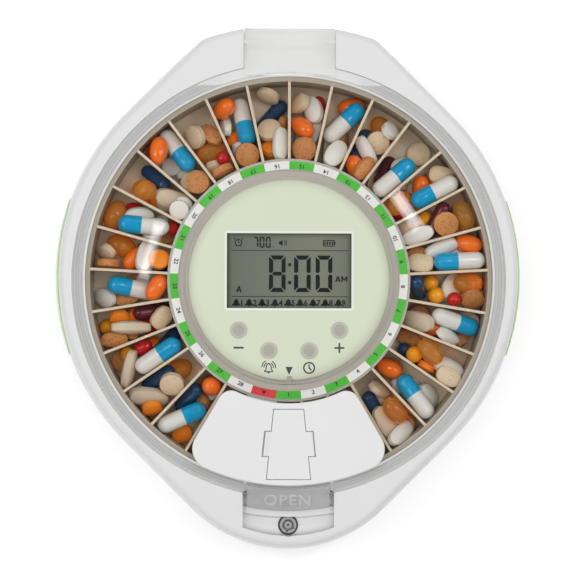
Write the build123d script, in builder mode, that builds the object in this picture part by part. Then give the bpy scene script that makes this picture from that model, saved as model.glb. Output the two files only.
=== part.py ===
from build123d import *
import math
import os

# Automatic pill dispenser. Millimetres, +Z up, origin at the middle of the footprint on the table.
# The lid hinge is at the rear (+Y), the latch and the key lock are at the front (-Y).

os.makedirs("parts", exist_ok=True)

# ---------------------------------------------------------------- driving dimensions
CY = 4.5                 # the tray turns about the vertical axis x = 0, y = CY
R_CASE = 99.0            # round sides of the case
CY_CASE = 6.1            # their centre, a little behind the tray axis
Z_DRAW = 28.0            # above this the walls lean in, except at the rear
DRAW = 8.4               # by this angle
Y_FRONT = -110.0         # tip of the front nose
R_REAR = 110.7           # rear edge arc, about the origin
R_SHOULDER = 6.0         # rounding of the two rear shoulders
WALL = 2.4               # case wall

Z_PAN = 1.5              # underside of the lower case
Z_FLOOR = 4.7            # top of the lower case's floor
Z_SPLIT = 24.0           # joint line of the two case halves
Z_DECK = 25.0            # underside of the deck plate
Z_DECK_TOP = 27.0
Z_CASE_TOP = 56.5
Z_SEAT = 54.2            # ledge that the lid rim drops onto
R_WELL = 85.1            # well that the tray turns in
R_WELL_OUT = 87.4
R_SEAT = 90.0

N_CELLS = 29             # 28 dose cells and one closed start cell
PITCH = 360.0 / N_CELLS
R_CELL_IN = 50.5
R_CELL_OUT = 82.7
R_TRAY = 84.6
T_DIVIDER = 1.1
Z_TRAY = 31.0
T_TRAY_FLOOR = 1.6
Z_TRAY_TOP = 53.5
R_HUB_IN = 43.4
R_RING_IN, R_RING_OUT = 45.8, 49.6
T_RING = 0.6

R_COLUMN = 41.5
R_COLUMN_IN = 39.0
Z_COLUMN_TOP = 54.3
R_DOME = 41.7
R_COLLAR = 43.1
Z_DOME_TOP = 62.2
T_DOME = 2.0
LCD_Y = CY + 3.74
LCD_W, LCD_H = 51.3, 30.8
BUTTONS = {"button_minus": (-20.7, CY - 20.7), "button_plus": (20.7, CY - 20.7),
           "button_alarm": (-8.3, CY - 29.1), "button_clock": (8.3, CY - 29.1)}
R_BUTTON = 3.4
Z_BUTTON_TOP = 63.0
Z_BUTTON_FOOT = 58.9

Z_LID_TOP = 58.4
Z_LID_UNDER = 56.4
R_LID_HOLE = 42.4
R_LID = 85.6
R_LID_RIM = 89.6
HINGE_Y, HINGE_Z = 103.4, 54.6
TAB_HALF = 18.7
Y_TAB = 108.8

PLATE_HALF_ANGLE = 30.5  # the white dispensing plate spans five cells
Z_PLATE_TOP = 59.2
FLAP_IN, FLAP_OUT = 53.5, 82.2          # from the tray axis
FLAP_W_IN, FLAP_W_OUT = 6.1, 9.0        # half widths
EAR_IN, EAR_OUT = 62.6, 72.7
FLAP_PIN_X, FLAP_PIN_D = 9.6, 67.65     # middle of the flap's pin
FLAP_PIN_TILT = 5.5                     # the pin runs along the cell's edge
Z_FLAP_PIN = 58.3

LOCK_Y = -97.4
LATCH_Y, LATCH_Z = -83.2, 57.3          # the latch tab's pivot
RECESS_HALF = 18.9
R_BAR = 98.3                            # front of the low bar behind the lock

MODULE = 1.0
T_GEAR, T_PINION = 90, 15
CENTRE_DISTANCE = MODULE * (T_GEAR + T_PINION) / 2 + 0.1
SCREWS = [(34.0, 96.0), (-34.0, 96.0), (32.0, -88.0), (-32.0, -88.0), (92.9, CY), (-92.9, CY)]
BAY_Y = -38.0            # middle of the battery bay
FEET = [(58.0, 57.0), (-58.0, 57.0), (58.0, -48.0), (-58.0, -48.0)]


# ---------------------------------------------------------------- shared profiles
def at_z(z):
    """A sketch plane at height z, centred on the tray axis."""
    return Plane(origin=(0, CY, z), x_dir=(1, 0, 0), z_dir=(0, 0, 1))


def front_arc():
    """Centre height and radius of the nose arc, tangent to the 45 degree flanks."""
    c = R_CASE * math.sqrt(2) - CY_CASE
    yc = (-Y_FRONT - c / math.sqrt(2)) / (1 / math.sqrt(2) - 1)
    return yc, yc - Y_FRONT


def case_face(inset, rear=True):
    """The case outline, drawn in by inset, as a face of the sketch that is open. Without rear, its flanks meet behind."""
    r = R_CASE - inset
    s = math.sqrt(0.5)
    yc, rf = front_arc()
    rf -= inset
    rr = R_REAR - inset
    c = r * math.sqrt(2) + CY_CASE
    q = math.sqrt(2 * rr * rr - c * c)
    corner = ((c - q) / 2, (c + q) / 2)
    with BuildLine() as outline:
        if rear:
            ThreePointArc((rf * s, yc - rf * s), (0, yc - rf), (-rf * s, yc - rf * s))
            Line((-rf * s, yc - rf * s), (-r * s, CY_CASE - r * s))
            ThreePointArc((-r * s, CY_CASE - r * s), (-r, CY_CASE), (-r * s, CY_CASE + r * s))
            Line((-r * s, CY_CASE + r * s), (-corner[0], corner[1]))
            ThreePointArc((-corner[0], corner[1]), (0, rr), corner)
            Line(corner, (r * s, CY_CASE + r * s))
            ThreePointArc((r * s, CY_CASE + r * s), (r, CY_CASE), (r * s, CY_CASE - r * s))
            Line((r * s, CY_CASE - r * s), (rf * s, yc - rf * s))
        else:                                                 # counter-clockwise, so that it tapers upwards
            ThreePointArc((-rf * s, yc - rf * s), (0, yc - rf), (rf * s, yc - rf * s))
            Line((rf * s, yc - rf * s), (r * s, CY_CASE - r * s))
            ThreePointArc((r * s, CY_CASE - r * s), (r, CY_CASE), (r * s, CY_CASE + r * s))
            Line((r * s, CY_CASE + r * s), (0, c))
            Line((0, c), (-r * s, CY_CASE + r * s))
            ThreePointArc((-r * s, CY_CASE + r * s), (-r, CY_CASE), (-r * s, CY_CASE - r * s))
            Line((-r * s, CY_CASE - r * s), (-rf * s, yc - rf * s))
    make_face(outline.edges())


def round_fan(sketch, outer, inner):
    """Round the outer and inner corners of a fan drawn about the sketch's origin."""
    fillet(sketch.vertices().filter_by(lambda v: math.hypot(v.X, v.Y) > 68), outer)
    fillet(sketch.vertices().filter_by(lambda v: math.hypot(v.X, v.Y) < 56), inner)


def shoulder_corners(sketch):
    """The two rear corners of a case outline sketch."""
    return sketch.vertices().filter_by(lambda v: v.Y > 95 and abs(v.X) > 25)


def gear_points(teeth, thin, turn):
    """Closed outline of an involute gear. thin is how much each flank is drawn in for backlash."""
    rp = MODULE * teeth / 2
    rb = rp * math.cos(math.radians(20))
    ro = rp + MODULE
    rr = rp - 1.25 * MODULE
    inv = math.tan(math.radians(20)) - math.radians(20)
    half = math.pi / (2 * teeth) - thin / rp
    pts = []
    for k in range(teeth):
        mid = 2 * math.pi * k / teeth + turn
        side = []
        for i in range(5):
            rad = max(rb, rr) + (ro - max(rb, rr)) * i / 4
            a = math.acos(min(1.0, rb / rad))
            side.append((rad, half + inv - (math.tan(a) - a)))
        if rr < rb:
            side.insert(0, (rr, side[0][1] + 0.02))
        for rad, a in side:
            pts.append((rad * math.cos(mid - a), rad * math.sin(mid - a)))
        for rad, a in reversed(side):
            pts.append((rad * math.cos(mid + a), rad * math.sin(mid + a)))
    return pts


def fan_face(r_in, r_out, half_angle, round_r):
    """A fan about the tray axis, opening to the front, as a face of the open sketch."""
    a0, a1 = math.radians(-90 - half_angle), math.radians(-90 + half_angle)
    p = lambda r, a: (r * math.cos(a), r * math.sin(a))
    with BuildLine() as outline:
        ThreePointArc(p(r_out, a0), (0, -r_out), p(r_out, a1))
        Line(p(r_out, a1), p(r_in, a1))
        ThreePointArc(p(r_in, a1), (0, -r_in), p(r_in, a0))
        Line(p(r_in, a0), p(r_out, a0))
    make_face(outline.edges())


def ring_arc(r, half_width):
    """Distance along -Y at which a circle of radius r meets |x| = half_width."""
    return -math.sqrt(r * r - half_width * half_width)


def shoulder_edges(part):
    """The two steep edges where the flanks meet the rear wall."""
    return part.edges().filter_by(lambda e: e.center().Y > 85 and abs(e.center().X) > 25
                                  and abs(e.bounding_box().max.Z - e.bounding_box().min.Z) > 5)


# ---------------------------------------------------------------- outer form of the upper case, and the hollow inside it
with BuildPart() as form_top:
    with BuildSketch(Plane.XY.offset(Z_DRAW)):
        case_face(0, rear=False)
    extrude(amount=Z_CASE_TOP - Z_DRAW, taper=DRAW)
    with BuildSketch(Plane.XY.offset(Z_DRAW)):
        Circle(R_REAR)
        with Locations((0, -60)):
            Rectangle(240, 120)
    extrude(amount=Z_CASE_TOP - Z_DRAW, mode=Mode.INTERSECT)
    fillet(shoulder_edges(form_top.part), R_SHOULDER)

with BuildPart() as case_form:
    with BuildSketch(Plane.XY.offset(Z_SPLIT)) as sk:
        case_face(0)
        fillet(shoulder_corners(sk), R_SHOULDER)
    extrude(amount=Z_DRAW - Z_SPLIT)
    add(form_top.part)
    fillet(case_form.faces().sort_by(Axis.Z)[-1].edges(), 3.0)

with BuildPart() as hollow_top:
    with BuildSketch(Plane.XY.offset(Z_DRAW)):
        case_face(WALL, rear=False)
    extrude(amount=53.8 - Z_DRAW, taper=DRAW)
    with BuildSketch(Plane.XY.offset(Z_DRAW)):
        Circle(R_REAR - WALL)
        with Locations((0, -60)):
            Rectangle(240, 120)
    extrude(amount=53.8 - Z_DRAW, mode=Mode.INTERSECT)
    fillet(shoulder_edges(hollow_top.part), R_SHOULDER - WALL)

with BuildPart() as case_hollow:
    with BuildSketch(Plane.XY.offset(Z_SPLIT)) as sk:
        case_face(WALL)
        fillet(shoulder_corners(sk), R_SHOULDER - WALL)
    extrude(amount=Z_DRAW - Z_SPLIT)
    add(hollow_top.part)
    with BuildSketch(at_z(Z_SPLIT)):
        Circle(92.6)
    extrude(amount=40, mode=Mode.SUBTRACT)

# ---------------------------------------------------------------- shape of the beds that the two side trims lie in
SIDE = Plane(origin=(0, CY_CASE, 15.0), x_dir=(1, 0, 0), z_dir=(0, 0, 1))
with BuildPart() as bed_core:
    with BuildSketch(SIDE):
        Circle(97.8)
    extrude(amount=Z_DRAW - 15.0)
    with BuildSketch(SIDE.offset(Z_DRAW - 15.0)):
        Circle(97.8)
    extrude(amount=17.0, taper=DRAW)

with BuildPart() as trim_beds:
    with BuildSketch(SIDE):
        Circle(102)
    extrude(amount=30)
    add(bed_core.part, mode=Mode.SUBTRACT)
    with BuildSketch(Plane.YZ.offset(-105)):
        with Locations((CY_CASE, 30)):
            Ellipse(33.4, 12.4)
    extrude(amount=210, mode=Mode.INTERSECT)

# ---------------------------------------------------------------- lower case: pan with floor, bosses and battery opening
with BuildPart() as lower_case:
    with BuildSketch(Plane.XY.offset(Z_PAN)) as sk:
        case_face(0)
        fillet(shoulder_corners(sk), R_SHOULDER)
    extrude(amount=Z_SPLIT - Z_PAN)
    chamfer(lower_case.faces().sort_by(Axis.Z)[0].edges(), 2.2)
    with BuildSketch(Plane.XY.offset(Z_FLOOR)) as sk:
        case_face(WALL)
        fillet(shoulder_corners(sk), R_SHOULDER - WALL)
    extrude(amount=Z_SPLIT - Z_FLOOR, mode=Mode.SUBTRACT)
    with BuildSketch(Plane.XY.offset(Z_FLOOR)):
        with Locations(*SCREWS[:4]):
            Circle(4.0)
    extrude(amount=Z_SPLIT - Z_FLOOR)
    with BuildSketch(Plane.XY.offset(Z_FLOOR)):
        with Locations(*SCREWS[4:]):
            Circle(3.4)
    extrude(amount=Z_SPLIT - Z_FLOOR)
    with BuildSketch(Plane.XY.offset(Z_FLOOR)):
        with Locations((62, 30), (-62, 30), (62, -30), (-62, -30)):
            Circle(3.5)
    extrude(amount=Z_DECK - Z_FLOOR)
    with BuildSketch(Plane.XY.offset(Z_PAN)):
        with Locations(*SCREWS):
            Circle(1.7)
    extrude(amount=Z_SPLIT - Z_PAN, mode=Mode.SUBTRACT)
    with BuildSketch(Plane.XY.offset(Z_PAN)):
        with Locations(*SCREWS[:4]):
            Circle(3.0)
        with Locations(*SCREWS[4:]):
            Circle(2.6)
    extrude(amount=12.5, mode=Mode.SUBTRACT)
    with BuildSketch(Plane.XY.offset(Z_PAN)):
        with Locations(*FEET):
            Circle(8.1)
    extrude(amount=1.0, mode=Mode.SUBTRACT)
    with BuildSketch(Plane.XY.offset(Z_PAN)):                 # recess that the battery door slides in
        with Locations((0, BAY_Y + 4.1)):
            Rectangle(66.0, 68.2)
    extrude(amount=2.1, mode=Mode.SUBTRACT)
    with BuildSketch(Plane.XY.offset(Z_PAN)):
        with Locations((0, BAY_Y)):
            Rectangle(59.4, 53.0)
    extrude(amount=Z_FLOOR - Z_PAN, mode=Mode.SUBTRACT)
    with BuildSketch(Plane.XY.offset(Z_PAN)):                 # sound holes under the buzzer
        with Locations((-38, 52)):
            with PolarLocations(5.2, 6):
                Circle(1.0)
            Circle(1.0)
    extrude(amount=Z_FLOOR - Z_PAN, mode=Mode.SUBTRACT)
    with BuildSketch(Plane.XZ.offset(-120)):                  # power socket hole in the rear wall
        with Locations((15, 13)):
            Circle(4.2)
    extrude(amount=25, mode=Mode.SUBTRACT)
    add(trim_beds.part, mode=Mode.SUBTRACT)
lower_case.part.label = "lower_case"
export_step(lower_case.part, "parts/lower_case.step")

# ---------------------------------------------------------------- shape of the finger scoop, in front of a low curved bar
with BuildPart() as scoop:
    with BuildSketch(Plane.XY.offset(50.0)):
        with Locations((0, -48.4)):
            Circle(52.9)
        with Locations((0, -98)):
            Rectangle(2 * RECESS_HALF, 16, mode=Mode.INTERSECT)
    extrude(amount=12)
    fillet(scoop.faces().sort_by(Axis.Z)[0].edges().filter_by(GeomType.CIRCLE), 3.0)
    with BuildSketch(Plane.XY.offset(50.0)):
        with Locations((0, LOCK_Y)):
            Circle(4.25)
    extrude(amount=12)
    with BuildSketch(at_z(46)):
        Circle(R_BAR)
    extrude(amount=7.0, mode=Mode.SUBTRACT)

# ---------------------------------------------------------------- upper case: outer wall, top ring, well wall, hinge and latch blocks
with BuildPart() as upper_case:
    add(case_form.part)
    add(case_hollow.part, mode=Mode.SUBTRACT)                 # between outer wall and well wall
    with BuildSketch(at_z(Z_SPLIT)):
        Circle(92.7)
        Circle(R_WELL_OUT, mode=Mode.SUBTRACT)
    extrude(amount=51.6 - Z_SPLIT, mode=Mode.SUBTRACT)
    with BuildSketch(Plane.XY.offset(40.5)):                  # hinge block at the rear
        case_face(1.2)
        with Locations((0, 104)):
            Rectangle(50, 40, mode=Mode.INTERSECT)
        with Locations((0, CY)):
            Circle(R_WELL + 1.0, mode=Mode.SUBTRACT)
    extrude(amount=14.0)
    with BuildSketch(Plane.XY.offset(41.5)):                  # latch and lock block at the front
        case_face(1.2)
        with Locations((0, -96)):
            Rectangle(46, 36, mode=Mode.INTERSECT)
        with Locations((0, CY)):
            Circle(R_WELL + 1.0, mode=Mode.SUBTRACT)
    extrude(amount=13.0)
    with BuildSketch(Plane.XY.offset(Z_SPLIT)):               # screw bosses
        with Locations(*SCREWS[:4]):
            Circle(4.0)
        with Locations(*SCREWS[4:]):
            Circle(3.4)
    extrude(amount=30.0)
    add(case_form.part, mode=Mode.INTERSECT)                  # blocks and bosses end at the outer wall
    with BuildSketch(Plane.XY.offset(Z_SPLIT)):
        with Locations(*SCREWS):
            Circle(1.5)
    extrude(amount=12.0, mode=Mode.SUBTRACT)
    with BuildSketch(at_z(Z_SPLIT)):                          # the well, open right through
        Circle(R_WELL)
    extrude(amount=40, mode=Mode.SUBTRACT)
    with BuildSketch(at_z(Z_SPLIT)):
        Circle(R_WELL_OUT + 0.2)
    extrude(amount=Z_DECK_TOP - Z_SPLIT, mode=Mode.SUBTRACT)
    with BuildSketch(at_z(Z_SEAT)):                           # ledge for the lid rim
        Circle(R_SEAT)
    extrude(amount=10, mode=Mode.SUBTRACT)
    with BuildSketch(at_z(44.0)):                             # hinge notch, open to the rear
        with Locations((0, 100)):
            Rectangle(38.2, 40)
        Circle(R_WELL_OUT, mode=Mode.SUBTRACT)
    extrude(amount=20, mode=Mode.SUBTRACT)
    with BuildSketch(at_z(46.0)):                             # latch pocket
        Circle(95.6)
        with Locations((0, -95)):
            Rectangle(2 * RECESS_HALF, 30, mode=Mode.INTERSECT)
        Circle(R_WELL_OUT, mode=Mode.SUBTRACT)
    extrude(amount=7.0, mode=Mode.SUBTRACT)
    with BuildSketch(at_z(53.0)):                             # clear space above the pocket and its bar
        Circle(98.0)
        with Locations((0, -95)):
            Rectangle(2 * RECESS_HALF, 30, mode=Mode.INTERSECT)
        Circle(R_SEAT, mode=Mode.SUBTRACT)
    extrude(amount=10, mode=Mode.SUBTRACT)
    add(scoop.part, mode=Mode.SUBTRACT)
    with BuildSketch(Plane.XY.offset(40)):                    # slot for the lock tongue, bore for the key lock
        with Locations((0, -88.4)):
            Rectangle(10.2, 4.2)
    extrude(amount=8, mode=Mode.SUBTRACT)
    with BuildSketch(Plane.XY.offset(40)):
        with Locations((0, LOCK_Y)):
            Circle(4.2)
    extrude(amount=10.7, mode=Mode.SUBTRACT)
    with BuildSketch(Plane.YZ.offset(-25)):                   # blind holes for the hinge pins
        with Locations((HINGE_Y, HINGE_Z)):
            Circle(1.01)
    extrude(amount=50, mode=Mode.SUBTRACT)
    add(trim_beds.part, mode=Mode.SUBTRACT)
upper_case.part.label = "upper_case"
export_step(upper_case.part, "parts/upper_case.step")

# ---------------------------------------------------------------- deck plate: closes the machinery bay, carries column and gear
with BuildPart() as deck_plate:
    with BuildSketch(Plane.XY.offset(Z_DECK)) as sk:
        case_face(WALL + 0.4)
        fillet(shoulder_corners(sk), R_SHOULDER - WALL - 0.4)
        with Locations(*SCREWS):
            Circle(4.5, mode=Mode.SUBTRACT)
        with Locations((0, CY + CENTRE_DISTANCE)):
            Circle(3.4, mode=Mode.SUBTRACT)
        with Locations((0, CY)):
            Circle(12.0, mode=Mode.SUBTRACT)
            with PolarLocations(35.0, 3, start_angle=30):
                Circle(1.5, mode=Mode.SUBTRACT)
        with Locations((0, CY + CENTRE_DISTANCE)):
            with PolarLocations(10.5, 2):
                Circle(1.3, mode=Mode.SUBTRACT)
    extrude(amount=Z_DECK_TOP - Z_DECK)
deck_plate.part.label = "deck_plate"
export_step(deck_plate.part, "parts/deck_plate.step")

# ---------------------------------------------------------------- side trims: lens-shaped grips, half a millimetre proud
with BuildPart() as trim_core:
    with BuildSketch(SIDE):
        Circle(97.85)
    extrude(amount=Z_DRAW - 15.0)
    with BuildSketch(SIDE.offset(Z_DRAW - 15.0)):
        Circle(97.85)
    extrude(amount=17.0, taper=DRAW)

with BuildPart() as trims:
    with BuildSketch(SIDE):
        Circle(99.5)
    extrude(amount=Z_DRAW - 15.0)
    with BuildSketch(SIDE.offset(Z_DRAW - 15.0)):
        Circle(99.5)
    extrude(amount=17.0, taper=DRAW)
    add(trim_core.part, mode=Mode.SUBTRACT)
    with BuildSketch(Plane.YZ.offset(-105)):
        with Locations((CY_CASE, 30)):
            Ellipse(33.1, 12.1)
    extrude(amount=210, mode=Mode.INTERSECT)

with BuildPart() as side_trim_right:
    add(trims.part)
    split(bisect_by=Plane.YZ, keep=Keep.TOP)
side_trim_right.part.label = "side_trim_right"
export_step(side_trim_right.part, "parts/side_trim_right.step")

with BuildPart() as side_trim_left:
    add(trims.part)
    split(bisect_by=Plane.YZ, keep=Keep.BOTTOM)
side_trim_left.part.label = "side_trim_left"
export_step(side_trim_left.part, "parts/side_trim_left.step")

# ---------------------------------------------------------------- rubber feet
with BuildPart() as rubber_feet:
    with BuildSketch(Plane.XY):
        with Locations(*FEET):
            Circle(8.0)
    extrude(amount=2.5)
    chamfer(rubber_feet.edges().group_by(Axis.Z)[0], 0.5)
rubber_feet.part.label = "rubber_feet"
export_step(rubber_feet.part, "parts/rubber_feet.step")

# ---------------------------------------------------------------- screws that hold the case halves together
with BuildPart() as case_screws:
    with BuildSketch(Plane.XY.offset(12.0)):
        with Locations(*SCREWS[:4]):
            Circle(2.7)
        with Locations(*SCREWS[4:]):
            Circle(2.4)
    extrude(amount=2.0)
    with BuildSketch(Plane.XY.offset(14.0)):
        with Locations(*SCREWS):
            Circle(1.45)
    extrude(amount=18.0)
    with BuildSketch(Plane.XY.offset(12.0)):
        with Locations(*SCREWS):
            Rectangle(2.6, 0.6)
            Rectangle(0.6, 2.6)
    extrude(amount=1.0, mode=Mode.SUBTRACT)
case_screws.part.label = "case_screws"
export_step(case_screws.part, "parts/case_screws.step")

# ---------------------------------------------------------------- battery bay, cells, contacts and sliding door
with BuildPart() as battery_box:
    with BuildSketch(Plane.XY.offset(Z_FLOOR)):
        with Locations((0, BAY_Y)):
            Rectangle(62.6, 56.2)
    extrude(amount=17.0)
    with BuildSketch(Plane.XY.offset(Z_FLOOR)):
        with Locations((0, BAY_Y)):
            Rectangle(59.4, 53.0)
    extrude(amount=15.2, mode=Mode.SUBTRACT)
    fillet(battery_box.faces().sort_by(Axis.Z)[-1].edges(), 1.0)
battery_box.part.label = "battery_box"
export_step(battery_box.part, "parts/battery_box.step")

with BuildPart() as batteries:
    for i in range(4):
        way = 1 if i % 2 == 0 else -1
        plane = Plane(origin=(-21.9 + 14.6 * i, BAY_Y - way * 24.4, 12.4), x_dir=(1, 0, 0), z_dir=(0, way, 0))
        with BuildSketch(plane):
            Circle(7.1)
        extrude(amount=48.2)
        with BuildSketch(plane.offset(48.2)):
            Circle(2.7)
        extrude(amount=1.2)
batteries.part.label = "batteries"
export_step(batteries.part, "parts/batteries.step")

with BuildPart() as battery_contacts:
    for side in (1, -1):
        plane = Plane(origin=(0, BAY_Y + side * 26.4, 12.4), x_dir=(1, 0, 0), z_dir=(0, -side, 0))
        with BuildSketch(plane):
            with Locations(*[(-21.9 + 14.6 * i, 0) for i in range(4)]):
                RectangleRounded(10.0, 11.0, 1.5)
        extrude(amount=0.4)
battery_contacts.part.label = "battery_contacts"
export_step(battery_contacts.part, "parts/battery_contacts.step")

with BuildPart() as battery_door:
    with BuildSketch(Plane.XY.offset(Z_PAN + 0.1)):
        with Locations((0, BAY_Y)):
            RectangleRounded(65.4, 59.4, 1.0)
    extrude(amount=1.9)
    with BuildSketch(Plane.XY.offset(Z_PAN + 0.1)):           # grip ribs
        with Locations(*[(0, BAY_Y - 22 + 2.2 * i) for i in range(5)]):
            SlotOverall(18, 1.0)
    extrude(amount=0.6, mode=Mode.SUBTRACT)
battery_door.part.label = "battery_door"
export_step(battery_door.part, "parts/battery_door.step")

# ---------------------------------------------------------------- power socket, power board, buzzer, gear motor
with BuildPart() as dc_jack:
    with BuildSketch(Plane(origin=(15, 109.2, 13), x_dir=(1, 0, 0), z_dir=(0, -1, 0))):
        Circle(4.0)
    extrude(amount=9.4)
    with BuildSketch(Plane(origin=(15, 99.8, 13), x_dir=(1, 0, 0), z_dir=(0, -1, 0))):
        Rectangle(9.0, 11.0)
    extrude(amount=5.0)
    with BuildSketch(Plane(origin=(15, 109.2, 13), x_dir=(1, 0, 0), z_dir=(0, -1, 0))):
        Circle(2.75)
        Circle(1.0, mode=Mode.SUBTRACT)
    extrude(amount=9.0, mode=Mode.SUBTRACT)
dc_jack.part.label = "dc_jack"
export_step(dc_jack.part, "parts/dc_jack.step")

with BuildPart() as power_board:
    with BuildSketch(Plane.XY.offset(5.4)):
        with Locations((24, 80)):
            Rectangle(30, 20)
    extrude(amount=1.6)
    with BuildSketch(Plane.XY.offset(7.0)):
        with Locations((16, 82), (32, 76)):
            Rectangle(7, 5)
        with Locations((24, 84)):
            Circle(3.0)
    extrude(amount=4.0)
power_board.part.label = "power_board"
export_step(power_board.part, "parts/power_board.step")

with BuildPart() as buzzer:
    with BuildSketch(Plane.XY.offset(Z_FLOOR)):
        with Locations((-38, 52)):
            Circle(11.0)
            Circle(8.4, mode=Mode.SUBTRACT)
    extrude(amount=4.5)
    with BuildSketch(Plane.XY.offset(Z_FLOOR + 4.5)):
        with Locations((-38, 52)):
            Circle(11.0)
    extrude(amount=1.2)
buzzer.part.label = "buzzer"
export_step(buzzer.part, "parts/buzzer.step")

with BuildPart() as motor:
    with BuildSketch(at_z(5.0)):
        with Locations((0, CENTRE_DISTANCE)):
            Circle(9.8)
            Rectangle(24, 15.0, mode=Mode.INTERSECT)
    extrude(amount=11.0)
    fillet(motor.faces().sort_by(Axis.Z)[0].edges(), 0.8)
motor.part.label = "motor"
export_step(motor.part, "parts/motor.step")

with BuildPart() as motor_gearbox:
    with BuildSketch(at_z(16.0)):
        with Locations((0, CENTRE_DISTANCE)):
            Circle(13.0)
    extrude(amount=Z_DECK - 16.0)
    with BuildSketch(at_z(18.0)):
        with Locations((0, CENTRE_DISTANCE)):
            Circle(2.07)
    extrude(amount=10, mode=Mode.SUBTRACT)
    with BuildSketch(at_z(18.0)):
        with Locations((0, CENTRE_DISTANCE)):
            with PolarLocations(10.5, 2):
                Circle(1.0)
    extrude(amount=10, mode=Mode.SUBTRACT)
motor_gearbox.part.label = "motor_gearbox"
export_step(motor_gearbox.part, "parts/motor_gearbox.step")

with BuildPart() as motor_screws:
    with BuildSketch(at_z(18.5)):
        with Locations((0, CENTRE_DISTANCE)):
            with PolarLocations(10.5, 2):
                Circle(0.95)
    extrude(amount=Z_DECK_TOP - 18.5)
    with BuildSketch(at_z(Z_DECK_TOP)):
        with Locations((0, CENTRE_DISTANCE)):
            with PolarLocations(10.5, 2):
                Circle(1.9)
    extrude(amount=0.5)
motor_screws.part.label = "motor_screws"
export_step(motor_screws.part, "parts/motor_screws.step")

with BuildPart() as output_shaft:
    with BuildSketch(at_z(18.5)):
        with Locations((0, CENTRE_DISTANCE)):
            Circle(2.0)
    extrude(amount=30.4 - 18.5)
output_shaft.part.label = "output_shaft"
export_step(output_shaft.part, "parts/output_shaft.step")

with BuildPart() as drive_pinion:
    with BuildSketch(Plane(origin=(0, CY + CENTRE_DISTANCE, 27.7), x_dir=(1, 0, 0), z_dir=(0, 0, 1))):
        with BuildLine():
            Polyline(*gear_points(T_PINION, 0.10, -math.pi / 2 + math.pi / T_PINION), close=True)
        make_face()
        Circle(2.0, mode=Mode.SUBTRACT)
    extrude(amount=3.0)
drive_pinion.part.label = "drive_pinion"
export_step(drive_pinion.part, "parts/drive_pinion.step")

with BuildPart() as position_switch:
    with BuildSketch(Plane.XY.offset(Z_DECK_TOP)):
        with Locations((-56, -20)):
            Rectangle(8, 5.5)
    extrude(amount=2.8)
    with BuildSketch(Plane.XY.offset(Z_DECK_TOP + 2.8)):
        with Locations((-57, -20)):
            Rectangle(1.5, 2.5)
    extrude(amount=0.7)
position_switch.part.label = "position_switch"
export_step(position_switch.part, "parts/position_switch.step")

# ---------------------------------------------------------------- turntable: thrust washer and spur gear with a keyed sleeve
with BuildPart() as thrust_washer:
    with BuildSketch(at_z(Z_DECK_TOP)):
        Circle(43.2)
        Circle(41.8, mode=Mode.SUBTRACT)
    extrude(amount=0.4)
thrust_washer.part.label = "thrust_washer"
export_step(thrust_washer.part, "parts/thrust_washer.step")

with BuildPart() as turntable_gear:
    with BuildSketch(at_z(27.45)):
        with BuildLine():
            Polyline(*gear_points(T_GEAR, 0.10, math.pi / 2), close=True)
        make_face()
        Circle(R_COLUMN + 0.1, mode=Mode.SUBTRACT)
    extrude(amount=Z_TRAY - 27.45)
    with BuildSketch(at_z(Z_TRAY)):
        Circle(43.2)
        Circle(R_COLUMN + 0.1, mode=Mode.SUBTRACT)
    extrude(amount=8.0)
    with BuildSketch(at_z(Z_TRAY)):
        with PolarLocations(43.5, 3, start_angle=90):
            Rectangle(1.5, 4.0)
    extrude(amount=6.5)
turntable_gear.part.label = "turntable_gear"
export_step(turntable_gear.part, "parts/turntable_gear.step")

# ---------------------------------------------------------------- tray: floor, hub, rim and dividers
with BuildPart() as tray_floor:
    with BuildSketch(at_z(Z_TRAY)):
        Circle(R_TRAY)
        Circle(R_HUB_IN + 1.5, mode=Mode.SUBTRACT)
    extrude(amount=T_TRAY_FLOOR)
tray_floor.part.label = "tray_floor"
export_step(tray_floor.part, "parts/tray_floor.step")

with BuildPart() as tray_hub:
    with BuildSketch(at_z(Z_TRAY + T_TRAY_FLOOR)):
        Circle(R_CELL_IN)
        Circle(R_HUB_IN + 1.5, mode=Mode.SUBTRACT)
    extrude(amount=Z_TRAY_TOP - Z_TRAY - T_TRAY_FLOOR)
    with BuildSketch(at_z(Z_TRAY)):
        Circle(R_HUB_IN + 1.5)
        Circle(R_HUB_IN, mode=Mode.SUBTRACT)
    extrude(amount=Z_TRAY_TOP - Z_TRAY)
    with BuildSketch(at_z(Z_TRAY + T_TRAY_FLOOR)):            # hollow under the ring seat
        Circle(R_CELL_IN - 1.2)
        Circle(R_HUB_IN + 1.5, mode=Mode.SUBTRACT)
    extrude(amount=Z_TRAY_TOP - 1.4 - Z_TRAY - T_TRAY_FLOOR, mode=Mode.SUBTRACT)
    with BuildSketch(at_z(Z_TRAY)):                           # key slots
        with PolarLocations(43.9, 3, start_angle=90):
            Rectangle(2.4, 4.4)
    extrude(amount=7.0, mode=Mode.SUBTRACT)
tray_hub.part.label = "tray_hub"
export_step(tray_hub.part, "parts/tray_hub.step")

with BuildPart() as tray_rim:
    with BuildSketch(at_z(Z_TRAY + T_TRAY_FLOOR)):
        Circle(R_TRAY)
        Circle(R_CELL_OUT, mode=Mode.SUBTRACT)
    extrude(amount=Z_TRAY_TOP - Z_TRAY - T_TRAY_FLOOR)
tray_rim.part.label = "tray_rim"
export_step(tray_rim.part, "parts/tray_rim.step")

with BuildPart() as tray_dividers:
    with BuildSketch(at_z(Z_TRAY + T_TRAY_FLOOR)):
        with PolarLocations((R_CELL_IN + R_CELL_OUT) / 2, N_CELLS, start_angle=-90 + PITCH / 2):
            Rectangle(R_CELL_OUT - R_CELL_IN - 0.02, T_DIVIDER)
    extrude(amount=Z_TRAY_TOP - Z_TRAY - T_TRAY_FLOOR)
tray_dividers.part.label = "tray_dividers"
export_step(tray_dividers.part, "parts/tray_dividers.step")

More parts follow.
